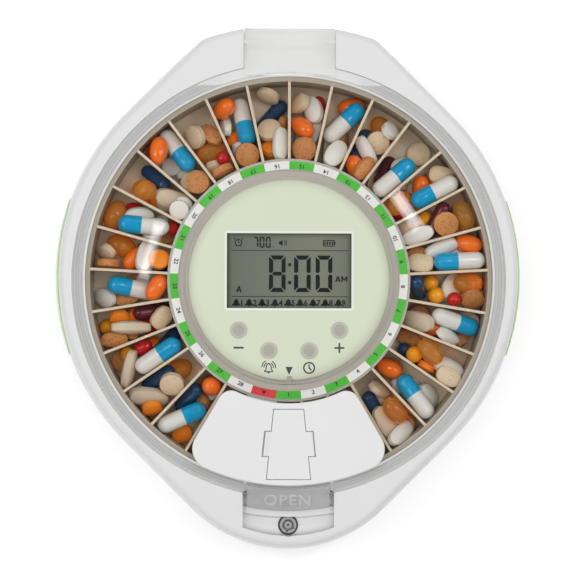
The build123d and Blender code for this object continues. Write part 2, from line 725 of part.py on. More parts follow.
with BuildPart() as dose_ring:
    with BuildSketch(at_z(Z_TRAY_TOP)):
        Circle(R_RING_OUT)
        Circle(R_RING_IN, mode=Mode.SUBTRACT)
    extrude(amount=T_RING)
dose_ring.part.label = "dose_ring"
export_step(dose_ring.part, "parts/dose_ring.step")

with BuildPart() as start_cell_cover:
    with BuildSketch(Plane(origin=(0, CY, Z_TRAY_TOP - 1.6), x_dir=Vector(1, 0, 0).rotate(Axis.Z, -PITCH), z_dir=(0, 0, 1))):
        fan_face(R_CELL_IN + 0.15, R_CELL_OUT - 0.15, PITCH / 2 - 0.02, 0)
        for side in (1, -1):                                  # trimmed back from the two dividers
            with Locations(Location((0, 0, 0), (0, 0, -90 + side * PITCH / 2))):
                with Locations((67, 0)):
                    Rectangle(60, T_DIVIDER + 0.3, mode=Mode.SUBTRACT)
    extrude(amount=1.6)
start_cell_cover.part.label = "start_cell_cover"
export_step(start_cell_cover.part, "parts/start_cell_cover.step")

# ---------------------------------------------------------------- column and control dome
with BuildPart() as center_column:
    with BuildSketch(at_z(Z_DECK_TOP)):
        Circle(R_COLUMN)
        Circle(R_COLUMN_IN, mode=Mode.SUBTRACT)
    extrude(amount=Z_COLUMN_TOP - Z_DECK_TOP)
    with BuildSketch(at_z(Z_DECK_TOP)):
        with PolarLocations(35.0, 3, start_angle=30):
            Circle(3.4)
        with PolarLocations(37.6, 3, start_angle=30):
            Rectangle(5.0, 2.0)
    extrude(amount=12)
    with BuildSketch(at_z(Z_DECK_TOP)):
        with PolarLocations(35.0, 3, start_angle=30):
            Circle(1.3)
    extrude(amount=10, mode=Mode.SUBTRACT)
center_column.part.label = "center_column"
export_step(center_column.part, "parts/center_column.step")

with BuildPart() as column_screws:
    with BuildSketch(at_z(22.8)):
        with PolarLocations(35.0, 3, start_angle=30):
            Circle(2.6)
    extrude(amount=Z_DECK - 22.8)
    with BuildSketch(at_z(Z_DECK)):
        with PolarLocations(35.0, 3, start_angle=30):
            Circle(1.25)
    extrude(amount=10.5)
column_screws.part.label = "column_screws"
export_step(column_screws.part, "parts/column_screws.step")

with BuildPart() as dome_collar:                              # ring around the foot of the dome
    with BuildSketch(Plane(origin=(0, CY, 0), x_dir=(1, 0, 0), z_dir=(0, -1, 0))):
        with BuildLine():
            Polyline((R_COLUMN + 0.02, 53.7), (R_COLLAR, 53.7), (R_COLLAR, 55.5), (R_DOME + 0.05, 55.5),
                     (R_DOME + 0.05, Z_COLUMN_TOP - 0.02), (R_COLUMN + 0.02, Z_COLUMN_TOP - 0.02), (R_COLUMN + 0.02, 53.7))
        make_face()
    revolve(axis=Axis((0, CY, 0), (0, 0, 1)))
dome_collar.part.label = "dome_collar"
export_step(dome_collar.part, "parts/dome_collar.step")

with BuildPart() as control_dome:
    with BuildSketch(Plane(origin=(0, CY, 0), x_dir=(1, 0, 0), z_dir=(0, -1, 0))):
        with BuildLine():
            Polyline((0, Z_DOME_TOP - T_DOME), (0, Z_DOME_TOP), (35.0, Z_DOME_TOP))
            Spline((35.0, Z_DOME_TOP), (39.2, Z_DOME_TOP - 0.75), (41.1, Z_DOME_TOP - 2.1), (R_DOME, Z_DOME_TOP - 4.4), tangents=((1, 0), (0, -1)))
            Polyline((R_DOME, Z_DOME_TOP - 4.4), (R_DOME, Z_COLUMN_TOP), (40.1, Z_COLUMN_TOP), (40.1, Z_DOME_TOP - 4.6),
                     (38.6, Z_DOME_TOP - 3.1), (35.0, Z_DOME_TOP - T_DOME), (0, Z_DOME_TOP - T_DOME))
        make_face()
    revolve(axis=Axis((0, CY, 0), (0, 0, 1)))
    with BuildSketch(Plane.XY.offset(58)):
        with Locations((0, LCD_Y)):
            RectangleRounded(LCD_W + 2.0, LCD_H + 2.2, 0.9)
        with Locations(*BUTTONS.values()):
            Circle(R_BUTTON + 0.14)
        with Locations((0.2, CY - 40.8)):
            Rectangle(1.8, 2.2)
    extrude(amount=6, mode=Mode.SUBTRACT)
control_dome.part.label = "control_dome"
export_step(control_dome.part, "parts/control_dome.step")

with BuildPart() as indicator_lens:
    with BuildSketch(Plane.XY.offset(58.0)):
        with Locations((0.2, CY - 40.8)):
            Rectangle(1.75, 2.15)
    extrude(amount=Z_DOME_TOP - 0.9 - 58.0)
indicator_lens.part.label = "indicator_lens"
export_step(indicator_lens.part, "parts/indicator_lens.step")

with BuildPart() as lcd_bezel:
    with BuildSketch(Plane.XY.offset(Z_DOME_TOP - T_DOME)):
        with Locations((0, LCD_Y)):
            RectangleRounded(LCD_W + 1.94, LCD_H + 2.14, 0.87)
            Rectangle(LCD_W, LCD_H, mode=Mode.SUBTRACT)
    extrude(amount=T_DOME + 0.15)
lcd_bezel.part.label = "lcd_bezel"
export_step(lcd_bezel.part, "parts/lcd_bezel.step")

with BuildPart() as lcd_window:
    with BuildSketch(Plane.XY.offset(60.9)):
        with Locations((0, LCD_Y)):
            Rectangle(LCD_W - 0.04, LCD_H - 0.04)
    extrude(amount=1.0)
lcd_window.part.label = "lcd_window"
export_step(lcd_window.part, "parts/lcd_window.step")

with BuildPart() as lcd_module:
    with BuildSketch(Plane.XY.offset(56.25)):
        with Locations((0, LCD_Y)):
            Rectangle(56.0, 36.0)
    extrude(amount=3.85)
lcd_module.part.label = "lcd_module"
export_step(lcd_module.part, "parts/lcd_module.step")

with BuildPart() as circuit_board:
    with BuildSketch(at_z(54.6)):
        Circle(38.4)
    extrude(amount=1.6)
    with BuildSketch(at_z(Z_COLUMN_TOP - 3.7)):               # parts on the underside
        with Locations((0, 5), (-18, 10)):
            Rectangle(11, 11)
        with Locations((16, 14), (16, 4)):
            Rectangle(5, 4)
    extrude(amount=4.0)
circuit_board.part.label = "circuit_board"
export_step(circuit_board.part, "parts/circuit_board.step")

with BuildPart() as tilt_sensor:
    with BuildSketch(at_z(44.0)):
        with Locations((10, -20)):
            Circle(2.6)
    extrude(amount=10.6)
tilt_sensor.part.label = "tilt_sensor"
export_step(tilt_sensor.part, "parts/tilt_sensor.step")

with BuildPart() as button_switches:
    with BuildSketch(Plane.XY.offset(56.2)):
        with Locations(*BUTTONS.values()):
            Rectangle(6.0, 6.0)
    extrude(amount=1.3)
    with BuildSketch(Plane.XY.offset(57.5)):
        with Locations(*BUTTONS.values()):
            Circle(1.7)
    extrude(amount=0.5)
button_switches.part.label = "button_switches"
export_step(button_switches.part, "parts/button_switches.step")

for name, (bx, by) in BUTTONS.items():
    with BuildPart() as button:
        with BuildSketch(Plane(origin=(bx, by, Z_BUTTON_FOOT), x_dir=(1, 0, 0), z_dir=(0, 0, 1))):
            Circle(4.3)
        extrude(amount=0.9)
        with BuildSketch(Plane(origin=(bx, by, Z_BUTTON_FOOT + 0.9), x_dir=(1, 0, 0), z_dir=(0, 0, 1))):
            Circle(R_BUTTON)
        extrude(amount=Z_BUTTON_TOP - Z_BUTTON_FOOT - 0.9)
        fillet(button.edges().group_by(Axis.Z)[-1], 0.45)
    button.part.label = name
    export_step(button.part, f"parts/{name}.step")

# ---------------------------------------------------------------- clear lid with rear tab, rim, collar and front ears
with BuildPart() as lid:
    with BuildSketch(Plane(origin=(0, CY, 0), x_dir=(1, 0, 0), z_dir=(0, -1, 0))):
        with BuildLine():
            Polyline((R_LID_HOLE, Z_LID_UNDER), (R_LID_HOLE, Z_LID_TOP - 0.3), (R_LID_HOLE + 0.3, Z_LID_TOP),
                     (R_LID - 1.3, Z_LID_TOP), (R_LID - 0.4, Z_LID_TOP - 0.4), (R_LID, Z_LID_TOP - 1.3), (R_LID, 56.1),
                     (R_LID_RIM, 56.1), (R_LID_RIM, 54.5), (84.2, 54.5), (84.2, Z_LID_UNDER), (R_LID_HOLE, Z_LID_UNDER))
        make_face()
    revolve(axis=Axis((0, CY, 0), (0, 0, 1)))
    with BuildSketch(at_z(Z_LID_UNDER)):                      # rear tab
        with Locations((0, (84.6 + Y_TAB - CY) / 2)):
            Rectangle(2 * TAB_HALF, Y_TAB - CY - 84.6)
    extrude(amount=Z_LID_TOP - Z_LID_UNDER)
    with BuildSketch(at_z(52.4)):                             # skirt of the tab, open at the front
        with Locations((0, (90.8 + Y_TAB - CY) / 2)):
            Rectangle(2 * TAB_HALF, Y_TAB - CY - 90.8)
        with Locations((0, (90.0 + Y_TAB - CY) / 2 - 1.8)):
            Rectangle(2 * TAB_HALF - 3.6, Y_TAB - CY - 90.0, mode=Mode.SUBTRACT)
    extrude(amount=4.2)
    with BuildSketch(Plane.XY.offset(53.6)):                  # rib across the tab, in front of the hinge
        with Locations((0, 100.7)):
            Rectangle(2 * TAB_HALF - 3.0, 0.9)
    extrude(amount=Z_LID_UNDER - 53.6)
    with BuildSketch(Plane.YZ.offset(-TAB_HALF)):             # eyes for the hinge pins
        with Locations((HINGE_Y, HINGE_Z)):
            Circle(2.2)
    extrude(amount=5.0)
    with BuildSketch(Plane.YZ.offset(TAB_HALF - 5.0)):
        with Locations((HINGE_Y, HINGE_Z)):
            Circle(2.2)
    extrude(amount=5.0)
    with BuildSketch(Plane.YZ.offset(-25)):
        with Locations((HINGE_Y, HINGE_Z)):
            Circle(1.07)
    extrude(amount=50, mode=Mode.SUBTRACT)
    fillet(lid.edges().filter_by(Axis.X).filter_by(lambda e: e.center().Y > Y_TAB - 0.01 and e.center().Z > 58), 1.4)
    with BuildSketch(at_z(Z_LID_UNDER - 0.1)) as sk:          # window for the dispensing plate
        fan_face(52.4, 83.6, PLATE_HALF_ANGLE - 1.4, 0)
        round_fan(sk, 7.2, 4.4)
    extrude(amount=4, mode=Mode.SUBTRACT)
    with BuildSketch(at_z(55.6)):                             # lowered rim under the latch tab
        Circle(90.0)
        with Locations((0, -88)):
            Rectangle(34.4, 20, mode=Mode.INTERSECT)
        Circle(R_LID, mode=Mode.SUBTRACT)
    extrude(amount=2, mode=Mode.SUBTRACT)
    with BuildSketch(at_z(55.6)):                             # ears beside the latch tab
        for side in (1, -1):
            with Locations((side * 17.9, -89.3)):
                Rectangle(1.2, 12.6)
    extrude(amount=2.4)
    with BuildSketch(at_z(54.5)):                             # root of the lock tongue
        Circle(93.6)
        with Locations((0, -90)):
            Rectangle(12, 12, mode=Mode.INTERSECT)
        Circle(88.5, mode=Mode.SUBTRACT)
    extrude(amount=1.1)
    with BuildSketch(Plane.YZ.offset(-20)):
        with Locations((LATCH_Y, LATCH_Z)):
            Circle(0.66)
    extrude(amount=40, mode=Mode.SUBTRACT)
lid.part.label = "lid"
export_step(lid.part, "parts/lid.step")

with BuildPart() as hinge_pins:
    for side in (1, -1):
        with BuildSketch(Plane.YZ.offset(side * 13.4)):
            with Locations((HINGE_Y, HINGE_Z)):
                Circle(1.0)
        extrude(amount=side * 11.4)
hinge_pins.part.label = "hinge_pins"
export_step(hinge_pins.part, "parts/hinge_pins.step")

with BuildPart() as lock_tongue:
    with BuildSketch(Plane.XY.offset(36.0)):
        with Locations((0, -88.0)):
            Rectangle(9.0, 1.4)
    extrude(amount=54.5 - 36.0)
    with BuildSketch(Plane.XZ.offset(80)):
        with Locations((1.65, 38.6)):
            Rectangle(7.7, 2.8)
    extrude(amount=20, mode=Mode.SUBTRACT)
lock_tongue.part.label = "lock_tongue"
export_step(lock_tongue.part, "parts/lock_tongue.step")

with BuildPart() as latch_pins:
    for side in (1, -1):
        with BuildSketch(Plane.YZ.offset(side * 15.6)):
            with Locations((LATCH_Y, LATCH_Z)):
                Circle(0.65)
        extrude(amount=side * 2.8)
latch_pins.part.label = "latch_pins"
export_step(latch_pins.part, "parts/latch_pins.step")

# ---------------------------------------------------------------- latch tab: clear lift tab with two hook arms
with BuildPart() as latch_tab:
    with BuildSketch(at_z(56.3)):
        Circle(95.4)
        with Locations((0, -91)):
            Rectangle(34.0, 13.0, mode=Mode.INTERSECT)
        Circle(86.5, mode=Mode.SUBTRACT)
    extrude(amount=1.8)
    with BuildSketch(at_z(54.0)):                             # front lip
        Circle(95.4)
        with Locations((0, -91)):
            Rectangle(34.0, 13.0, mode=Mode.INTERSECT)
        Circle(93.9, mode=Mode.SUBTRACT)
    extrude(amount=2.4)
    with BuildSketch(Plane.YZ.offset(-17.0)):                 # knuckle
        with Locations((LATCH_Y, LATCH_Z)):
            Circle(0.98)
    extrude(amount=4.0)
    with BuildSketch(Plane.YZ.offset(13.0)):
        with Locations((LATCH_Y, LATCH_Z)):
            Circle(0.98)
    extrude(amount=4.0)
    with BuildSketch(at_z(48.6)):                             # hook arms and barbs
        with Locations((-9.5, -91.6), (9.5, -91.6)):
            Rectangle(3.6, 1.2)
    extrude(amount=7.8)
    with BuildSketch(at_z(48.6)):
        with Locations((-9.5, -91.3), (9.5, -91.3)):
            Rectangle(3.6, 1.4)
    extrude(amount=1.2)
    with BuildSketch(Plane.YZ.offset(-20)):
        with Locations((LATCH_Y, LATCH_Z)):
            Circle(0.72)
    extrude(amount=40, mode=Mode.SUBTRACT)
latch_tab.part.label = "latch_tab"
export_step(latch_tab.part, "parts/latch_tab.step")

# ---------------------------------------------------------------- dispensing plate, its flap and the flap's pin
PIN_PLANE = Plane(origin=(FLAP_PIN_X, CY - FLAP_PIN_D, Z_FLAP_PIN), x_dir=(1, 0, 0),
                  z_dir=Vector(0, -1, 0).rotate(Axis.Z, FLAP_PIN_TILT))


def flap_face(grow):
    """Outline of the flap with its two ears, grown by grow, as a face of the open sketch."""
    slope = (FLAP_W_OUT - FLAP_W_IN) / (FLAP_OUT - FLAP_IN)
    w = lambda d: FLAP_W_IN + slope * (d - FLAP_IN) + grow
    a, b = FLAP_IN - grow, FLAP_OUT + grow
    c, d = EAR_IN - grow, EAR_OUT + grow
    left = 2.45 + (0.35 if grow else 0)
    right = 3.0
    Polygon((-w(a), -a), (w(a), -a), (w(c), -c), (w(c) + right, -c), (w(d) + right, -d), (w(d), -d), (w(b), -b),
            (-w(b), -b), (-w(d), -d), (-w(d) - left, -d), (-w(c) - left, -c), (-w(c), -c), align=None)


def throat_face():
    """Outline of the opening under the flap, as a face of the open sketch."""
    Polygon((-FLAP_W_IN, -FLAP_IN), (FLAP_W_IN, -FLAP_IN), (FLAP_W_OUT, -FLAP_OUT), (-FLAP_W_OUT, -FLAP_OUT), align=None)


with BuildPart() as dispensing_plate:
    with BuildSketch(at_z(Z_LID_TOP)) as sk:
        fan_face(50.9, 84.9, PLATE_HALF_ANGLE, 0)
        round_fan(sk, 8.5, 5.5)
    extrude(amount=Z_PLATE_TOP - Z_LID_TOP)
    chamfer(dispensing_plate.faces().sort_by(Axis.Z)[-1].edges(), 0.3)
    with BuildSketch(at_z(Z_LID_UNDER + 0.2)) as sk:
        fan_face(52.6, 83.4, PLATE_HALF_ANGLE - 1.7, 0)
        round_fan(sk, 7.0, 4.2)
    extrude(amount=Z_LID_TOP - Z_LID_UNDER - 0.2)
    with BuildSketch(at_z(57.2)):                             # seat for the flap, floored under the two ears
        flap_face(0.25)
    extrude(amount=6, mode=Mode.SUBTRACT)
    chamfer(dispensing_plate.faces().sort_by(Axis.Z)[-1].inner_wires()[0].edges(), 0.15)
    with BuildSketch(at_z(55)):                               # opening under the flap
        throat_face()
    extrude(amount=6, mode=Mode.SUBTRACT)
    with BuildSketch(PIN_PLANE.offset(-8.0)):
        Circle(0.45)
    extrude(amount=16.0, mode=Mode.SUBTRACT)
dispensing_plate.part.label = "dispensing_plate"
export_step(dispensing_plate.part, "parts/dispensing_plate.step")

with BuildPart() as flap:
    with BuildSketch(at_z(57.3)):
        flap_face(0)
    extrude(amount=Z_PLATE_TOP - 57.3)
    with BuildSketch(PIN_PLANE.offset(-6)):                   # right ear is cut back and rolled into a knuckle
        with Locations((1.0, 0)):
            Rectangle(2.0, 6)
    extrude(amount=12, mode=Mode.SUBTRACT)
    with BuildSketch(PIN_PLANE.offset(-4.95)):
        Circle(0.9)
    extrude(amount=9.9)
    with BuildSketch(PIN_PLANE.offset(-6)):
        Circle(0.5)
    extrude(amount=12, mode=Mode.SUBTRACT)
    with BuildSketch(Plane(origin=(0, CY, Z_PLATE_TOP), x_dir=(1, 0, 0), z_dir=(0, 0, 1))):   # raised lip of the left ear
        Polygon((-9.45, -EAR_IN - 0.1), (-8.5, -EAR_IN - 0.1), (-9.45, -EAR_OUT + 0.1), (-10.4, -EAR_OUT + 0.1), align=None)
    extrude(amount=0.7)
flap.part.label = "flap"
export_step(flap.part, "parts/flap.step")

with BuildPart() as flap_pin:
    with BuildSketch(PIN_PLANE.offset(-7.4)):
        Circle(0.44)
    extrude(amount=14.8)
flap_pin.part.label = "flap_pin"
export_step(flap_pin.part, "parts/flap_pin.step")

# ---------------------------------------------------------------- key lock: sleeve, turning plug and cam
with BuildPart() as lock_sleeve:
    with BuildSketch(Plane(origin=(0, LOCK_Y, 41.5), x_dir=(1, 0, 0), z_dir=(0, 0, 1))):
        Circle(4.17)
        Circle(3.5, mode=Mode.SUBTRACT)
    extrude(amount=50.6 - 41.5)
    chamfer(lock_sleeve.edges().group_by(Axis.Z)[-1], 0.25)
lock_sleeve.part.label = "lock_sleeve"
export_step(lock_sleeve.part, "parts/lock_sleeve.step")

with BuildPart() as lock_plug:
    with BuildSketch(Plane(origin=(0, LOCK_Y, 39.4), x_dir=(1, 0, 0), z_dir=(0, 0, 1))):
        Circle(3.44)
    extrude(amount=50.3 - 39.4)
    with BuildSketch(Plane(origin=(0, LOCK_Y, 36.8), x_dir=(1, 0, 0), z_dir=(0, 0, 1))):
        Circle(1.8)
    extrude(amount=2.6)
    with BuildSketch(Plane(origin=(0, LOCK_Y, 47.3), x_dir=(1, 0, 0), z_dir=(0, 0, 1))):
        Circle(2.35)
        Circle(1.55, mode=Mode.SUBTRACT)
    extrude(amount=4, mode=Mode.SUBTRACT)
    with BuildSketch(Plane(origin=(0, LOCK_Y, 47.3), x_dir=(1, 0, 0), z_dir=(0, 0, 1))):
        Circle(0.5)
        with Locations((1.9, -1.2), (-0.4, -2.5)):
            Circle(0.55)
    extrude(amount=4, mode=Mode.SUBTRACT)
lock_plug.part.label = "lock_plug"
export_step(lock_plug.part, "parts/lock_plug.step")

with BuildPart() as lock_cam:
    with BuildSketch(Plane(origin=(0, LOCK_Y, 37.9), x_dir=(1, 0, 0), z_dir=(0, 0, 1))):
        Circle(3.6)
        with Locations((5.2, 0)):
            SlotOverall(10.4, 3.0)
        Circle(1.8, mode=Mode.SUBTRACT)
    extrude(amount=1.4)
lock_cam.part.label = "lock_cam"
export_step(lock_cam.part, "parts/lock_cam.step")
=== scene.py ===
import math
import random

import bmesh
import bpy
from mathutils import Matrix, Quaternion, Vector
from mathutils.bvhtree import BVHTree


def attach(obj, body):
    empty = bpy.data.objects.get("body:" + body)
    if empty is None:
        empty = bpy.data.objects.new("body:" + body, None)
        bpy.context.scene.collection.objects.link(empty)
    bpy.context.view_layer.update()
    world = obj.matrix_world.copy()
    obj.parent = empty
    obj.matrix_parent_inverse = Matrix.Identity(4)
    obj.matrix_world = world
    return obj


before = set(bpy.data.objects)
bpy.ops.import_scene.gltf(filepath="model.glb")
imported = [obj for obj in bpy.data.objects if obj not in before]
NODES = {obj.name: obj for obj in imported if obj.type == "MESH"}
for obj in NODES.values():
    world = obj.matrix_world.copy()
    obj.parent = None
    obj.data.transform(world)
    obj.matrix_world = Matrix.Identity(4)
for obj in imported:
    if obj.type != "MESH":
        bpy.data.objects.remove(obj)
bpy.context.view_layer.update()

MM = 0.001
CY = 4.5                     # the tray's axis, in mm
PITCH = 360.0 / 29
PI = math.pi


# ------------------------------------------------------------------ node helpers
class Tree:
    """A material's node tree with short calls."""

    def __init__(self, name):
        self.mat = bpy.data.materials.new(name)
        self.mat.use_nodes = True
        self.nt = self.mat.node_tree
        self.nt.nodes.clear()
        self.out = self.nt.nodes.new("ShaderNodeOutputMaterial")
        self.obj = None

    def node(self, kind, **props):
        n = self.nt.nodes.new(kind)
        for k, v in props.items():
            setattr(n, k, v)
        return n

    def link(self, a, b):
        self.nt.links.new(a, b)

    def coords(self):
        if self.obj is None:
            self.obj = self.node("ShaderNodeTexCoord").outputs["Object"]
        return self.obj

    def noise(self, scale, detail=2.0, rough=0.5, stretch=None, distortion=0.0):
        src = self.coords()
        if stretch:
            m = self.node("ShaderNodeMapping")
            m.inputs["Scale"].default_value = stretch
            self.link(src, m.inputs["Vector"])
            src = m.outputs["Vector"]
        n = self.node("ShaderNodeTexNoise")
        n.inputs["Scale"].default_value = scale
        n.inputs["Detail"].default_value = detail
        n.inputs["Roughness"].default_value = rough
        n.inputs["Distortion"].default_value = distortion
        self.link(src, n.inputs["Vector"])
        return n.outputs["Fac"]

    def math(self, op, a, b=None, c=None, clamp=False):
        n = self.node("ShaderNodeMath", operation=op, use_clamp=clamp)
        for i, v in enumerate((a, b, c)):
            if v is None:
                continue
            if isinstance(v, (int, float)):
                n.inputs[i].default_value = v
            else:
                self.link(v, n.inputs[i])
        return n.outputs[0]

    def range(self, v, lo, hi, a, b):
        n = self.node("ShaderNodeMapRange", clamp=True)
        self.link(v, n.inputs["Value"])
        n.inputs["From Min"].default_value = lo
        n.inputs["From Max"].default_value = hi
        n.inputs["To Min"].default_value = a
        n.inputs["To Max"].default_value = b
        return n.outputs["Result"]

    def ramp(self, v, stops, mode="LINEAR"):
        n = self.node("ShaderNodeValToRGB")
        e = n.color_ramp.elements
        n.color_ramp.interpolation = mode
        while len(e) > 1:
            e.remove(e[-1])
        e[0].position, e[0].color = stops[0][0], (*stops[0][1], 1)
        for p, c in stops[1:]:
            x = e.new(p)
            x.color = (*c, 1)
        self.link(v, n.inputs["Fac"])
        return n.outputs["Color"]

    def mix(self, f, a, b, mode="MIX"):
        n = self.node("ShaderNodeMix", data_type="RGBA", blend_type=mode, clamp_factor=True)
        for sock, v in ((n.inputs["Factor"], f), (n.inputs[6], a), (n.inputs[7], b)):
            if isinstance(v, (int, float)):
                sock.default_value = v
            elif isinstance(v, (tuple, list)):
                sock.default_value = (*v[:3], 1)
            else:
                self.link(v, sock)
        return n.outputs[2]

    def principled(self, colour, rough=None, rough_value=0.4, bump=None, bump_strength=0.1, bump_mm=0.05, **values):
        p = self.node("ShaderNodeBsdfPrincipled")
        if isinstance(colour, (tuple, list)):
            p.inputs["Base Color"].default_value = (*colour, 1)
        else:
            self.link(colour, p.inputs["Base Color"])
        if rough is None:
            p.inputs["Roughness"].default_value = rough_value
        else:
            self.link(rough, p.inputs["Roughness"])
        for k, v in values.items():
            p.inputs[k.replace("_", " ")].default_value = v
        if bump is not None:
            b = self.node("ShaderNodeBump")
            b.inputs["Strength"].default_value = bump_strength
            b.inputs["Distance"].default_value = bump_mm * MM
            self.link(bump, b.inputs["Height"])
            self.link(b.outputs["Normal"], p.inputs["Normal"])
        return p

    def finish(self, shader):
        self.link(shader, self.out.inputs["Surface"])
        return self.mat


def lin(r, g, b):
    """sRGB 0-255 to linear."""
    def f(v):
        v = v / 255.0
        return v / 12.92 if v <= 0.04045 else ((v + 0.055) / 1.055) ** 2.4
    return (f(r), f(g), f(b))


def scaled(c, k):
    return tuple(min(1.0, v * k) for v in c)


def plastic(name, rgb, rough=0.35, vary=0.03, cloud=30.0, grain=2200.0, grain_strength=0.12, grain_mm=0.02, **values):
    """Moulded plastic: faint flow clouds in the colour, uneven gloss, fine surface grain."""
    t = Tree(name)
    base = lin(*rgb)
    n = t.noise(cloud, 3.0, 0.55)
    col = t.ramp(n, [(0.3, scaled(base, 1 - vary)), (0.7, scaled(base, 1 + vary * 0.6))])
    r = t.range(t.noise(cloud * 6, 4.0, 0.6), 0.25, 0.75, rough - 0.05, rough + 0.06)
    p = t.principled(col, rough=r, bump=t.noise(grain, 2.0, 0.6), bump_strength=grain_strength, bump_mm=grain_mm, **values)
    return t.finish(p.outputs["BSDF"])


def metal(name, rgb, rough=0.25, brushed=(1, 1, 1), metallic=1.0):
    t = Tree(name)
    base = lin(*rgb)
    n = t.noise(600.0, 4.0, 0.7, stretch=brushed)
    col = t.ramp(n, [(0.25, scaled(base, 0.86)), (0.75, scaled(base, 1.05))])
    r = t.range(t.noise(900.0, 3.0, 0.6, stretch=brushed), 0.2, 0.8, rough - 0.08, rough + 0.12)
    p = t.principled(col, rough=r, bump=n, bump_strength=0.15, bump_mm=0.01, Metallic=metallic)
    return t.finish(p.outputs["BSDF"])


def clear(name, tint, rough_lo, rough_hi, clouds=60.0, ior=1.5, frost=None, milk_tone=0.82, shade=None):
    """Clear moulded plastic. Lamps and soft light reach what lies under it."""
    t = Tree(name)
    n = t.noise(clouds, 3.0, 0.5)
    col = t.ramp(n, [(0.2, scaled(tint, 0.985)), (0.8, tint)])
    if shade:
        # a painted shade multiplied into the tint
        col = t.mix(1.0, col, shade(t), "MULTIPLY")
    r = t.range(t.noise(clouds * 8, 3.0, 0.6), 0.3, 0.7, rough_lo, rough_hi) if rough_hi else None
    p = t.principled(col, rough=r, rough_value=0.0, Transmission_Weight=1.0, IOR=ior)
    surface = p.outputs["BSDF"]
    if frost:                                        # part of the surface scatters as milky plastic; along the lid's edge this is a painted highlight
        milk = t.principled(t.ramp(n, [(0.2, scaled((1, 1, 0.99), milk_tone - 0.02)), (0.8, scaled((1, 1, 0.995), milk_tone + 0.02))]),
                            rough_value=0.35)
        mf = t.node("ShaderNodeMixShader")
        t.link(frost(t), mf.inputs[0])
        t.link(surface, mf.inputs[1])
        t.link(milk.outputs["BSDF"], mf.inputs[2])
        surface = mf.outputs["Shader"]
    through = t.node("ShaderNodeBsdfTransparent")
    through.inputs["Color"].default_value = (*scaled(tint, 0.985), 1)
    path = t.node("ShaderNodeLightPath")
    f = t.math("MAXIMUM", path.outputs["Is Shadow Ray"], path.outputs["Is Diffuse Ray"])
    m = t.node("ShaderNodeMixShader")
    t.link(f, m.inputs[0])
    t.link(surface, m.inputs[1])
    t.link(through.outputs["BSDF"], m.inputs[2])
    return t.finish(m.outputs["Shader"])


def give(obj, mat):
    obj.data.materials.clear()
    obj.data.materials.append(mat)


def dress(names, mat):
    for n in names.split():
        o = NODES[n]
        if len(o.material_slots) == 0:
            o.data.materials.append(None)
        for s in o.material_slots:
            s.link = "OBJECT"
            s.material = mat


# ------------------------------------------------------------------ mesh helpers (millimetres in, metres out)
class Shape:
    """Collects faces in mm for one piece."""

    def __init__(self):
        self.v, self.f, self.m, self.smooth = [], [], [], []

    def add(self, verts, faces, mat=0, smooth=False):
        k = len(self.v)
        self.v += [tuple(p) for p in verts]
        for face in faces:
            self.f.append([k + i for i in face])
            self.m.append(mat)
            self.smooth.append(smooth)

    def prism(self, outline, z0, z1, mat=0, place=None, z_of=None):
        """A flat outline (x, y), counter-clockwise, made solid between two heights. z_of lifts it onto a surface."""
        n = len(outline)
        low, high = [], []
        for x, y in outline:
            if place:
                x, y = place(x, y)
            dz = z_of(x, y) if z_of else 0.0
            low.append((x, y, z0 + dz))
            high.append((x, y, z1 + dz))
        # each cap is a single n-gon face of the outline
        self.add(low + high, [list(range(n))[::-1], [n + i for i in range(n)]]
                 + [[i, (i + 1) % n, n + (i + 1) % n, n + i] for i in range(n)], mat)

    def make(self, name, mats, body, smooth_angle=None):
        me = bpy.data.meshes.new(name)
        me.from_pydata([(x * MM, y * MM, z * MM) for x, y, z in self.v], [], self.f)
        for m in mats:
            me.materials.append(m)
        for p, m, s in zip(me.polygons, self.m, self.smooth):
            p.material_index = m
            p.use_smooth = s
        me.validate()
        me.update()
        o = bpy.data.objects.new(name, me)
        bpy.context.scene.collection.objects.link(o)
        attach(o, body)
        return o


def text_mesh(body, size, thick=0.03, spacing=1.0, bold=0.0, bevel=0.0, res=3):
    """Vertices (mm, centred, lying in XY, bottom at z 0) and faces of a short text."""
    cu = bpy.data.curves.new("t", "FONT")
    cu.body = body
    cu.size = size
    cu.align_x = "CENTER"
    cu.align_y = "CENTER"
    cu.space_character = spacing
    cu.offset = bold
    cu.extrude = thick / 2
    cu.bevel_depth = bevel
    cu.resolution_u = res
    ob = bpy.data.objects.new("t", cu)
    bpy.context.scene.collection.objects.link(ob)
    bpy.context.view_layer.update()
    me = bpy.data.meshes.new_from_object(ob.evaluated_get(bpy.context.evaluated_depsgraph_get()))
    bm = bmesh.new()
    bm.from_mesh(me)
    bmesh.ops.remove_doubles(bm, verts=bm.verts, dist=size * 1e-4)
    bm.normal_update()
    verts = [v.co.copy() for v in bm.verts]
    faces = [[v.index for v in f.verts] for f in bm.faces]
    bm.free()
    bpy.data.objects.remove(ob)
    bpy.data.curves.remove(cu)
    bpy.data.meshes.remove(me)
    if verts:
        cx = (min(v.x for v in verts) + max(v.x for v in verts)) / 2
        cy = (min(v.y for v in verts) + max(v.y for v in verts)) / 2
        z0 = min(v.z for v in verts)
        for v in verts:
            v.x -= cx
            v.y -= cy
            v.z -= z0
    return verts, faces


def put_text(shape, body, size, x, y, z, turn=0.0, mat=0, sx=1.0, z_of=None, **kw):
    verts, faces = text_mesh(body, size, **kw)
    c, s = math.cos(turn), math.sin(turn)
    out = []
    for v in verts:
        px, py = v.x * sx, v.y
        X, Y = x + c * px - s * py, y + s * px + c * py
        out.append((X, Y, z + v.z + (z_of(X, Y) if z_of else 0.0)))
    shape.add(out, faces, mat)


def ring_outline(r, n=48, cx=0.0, cy=0.0):
    return [(cx + r * math.cos(2 * PI * i / n), cy + r * math.sin(2 * PI * i / n)) for i in range(n)]


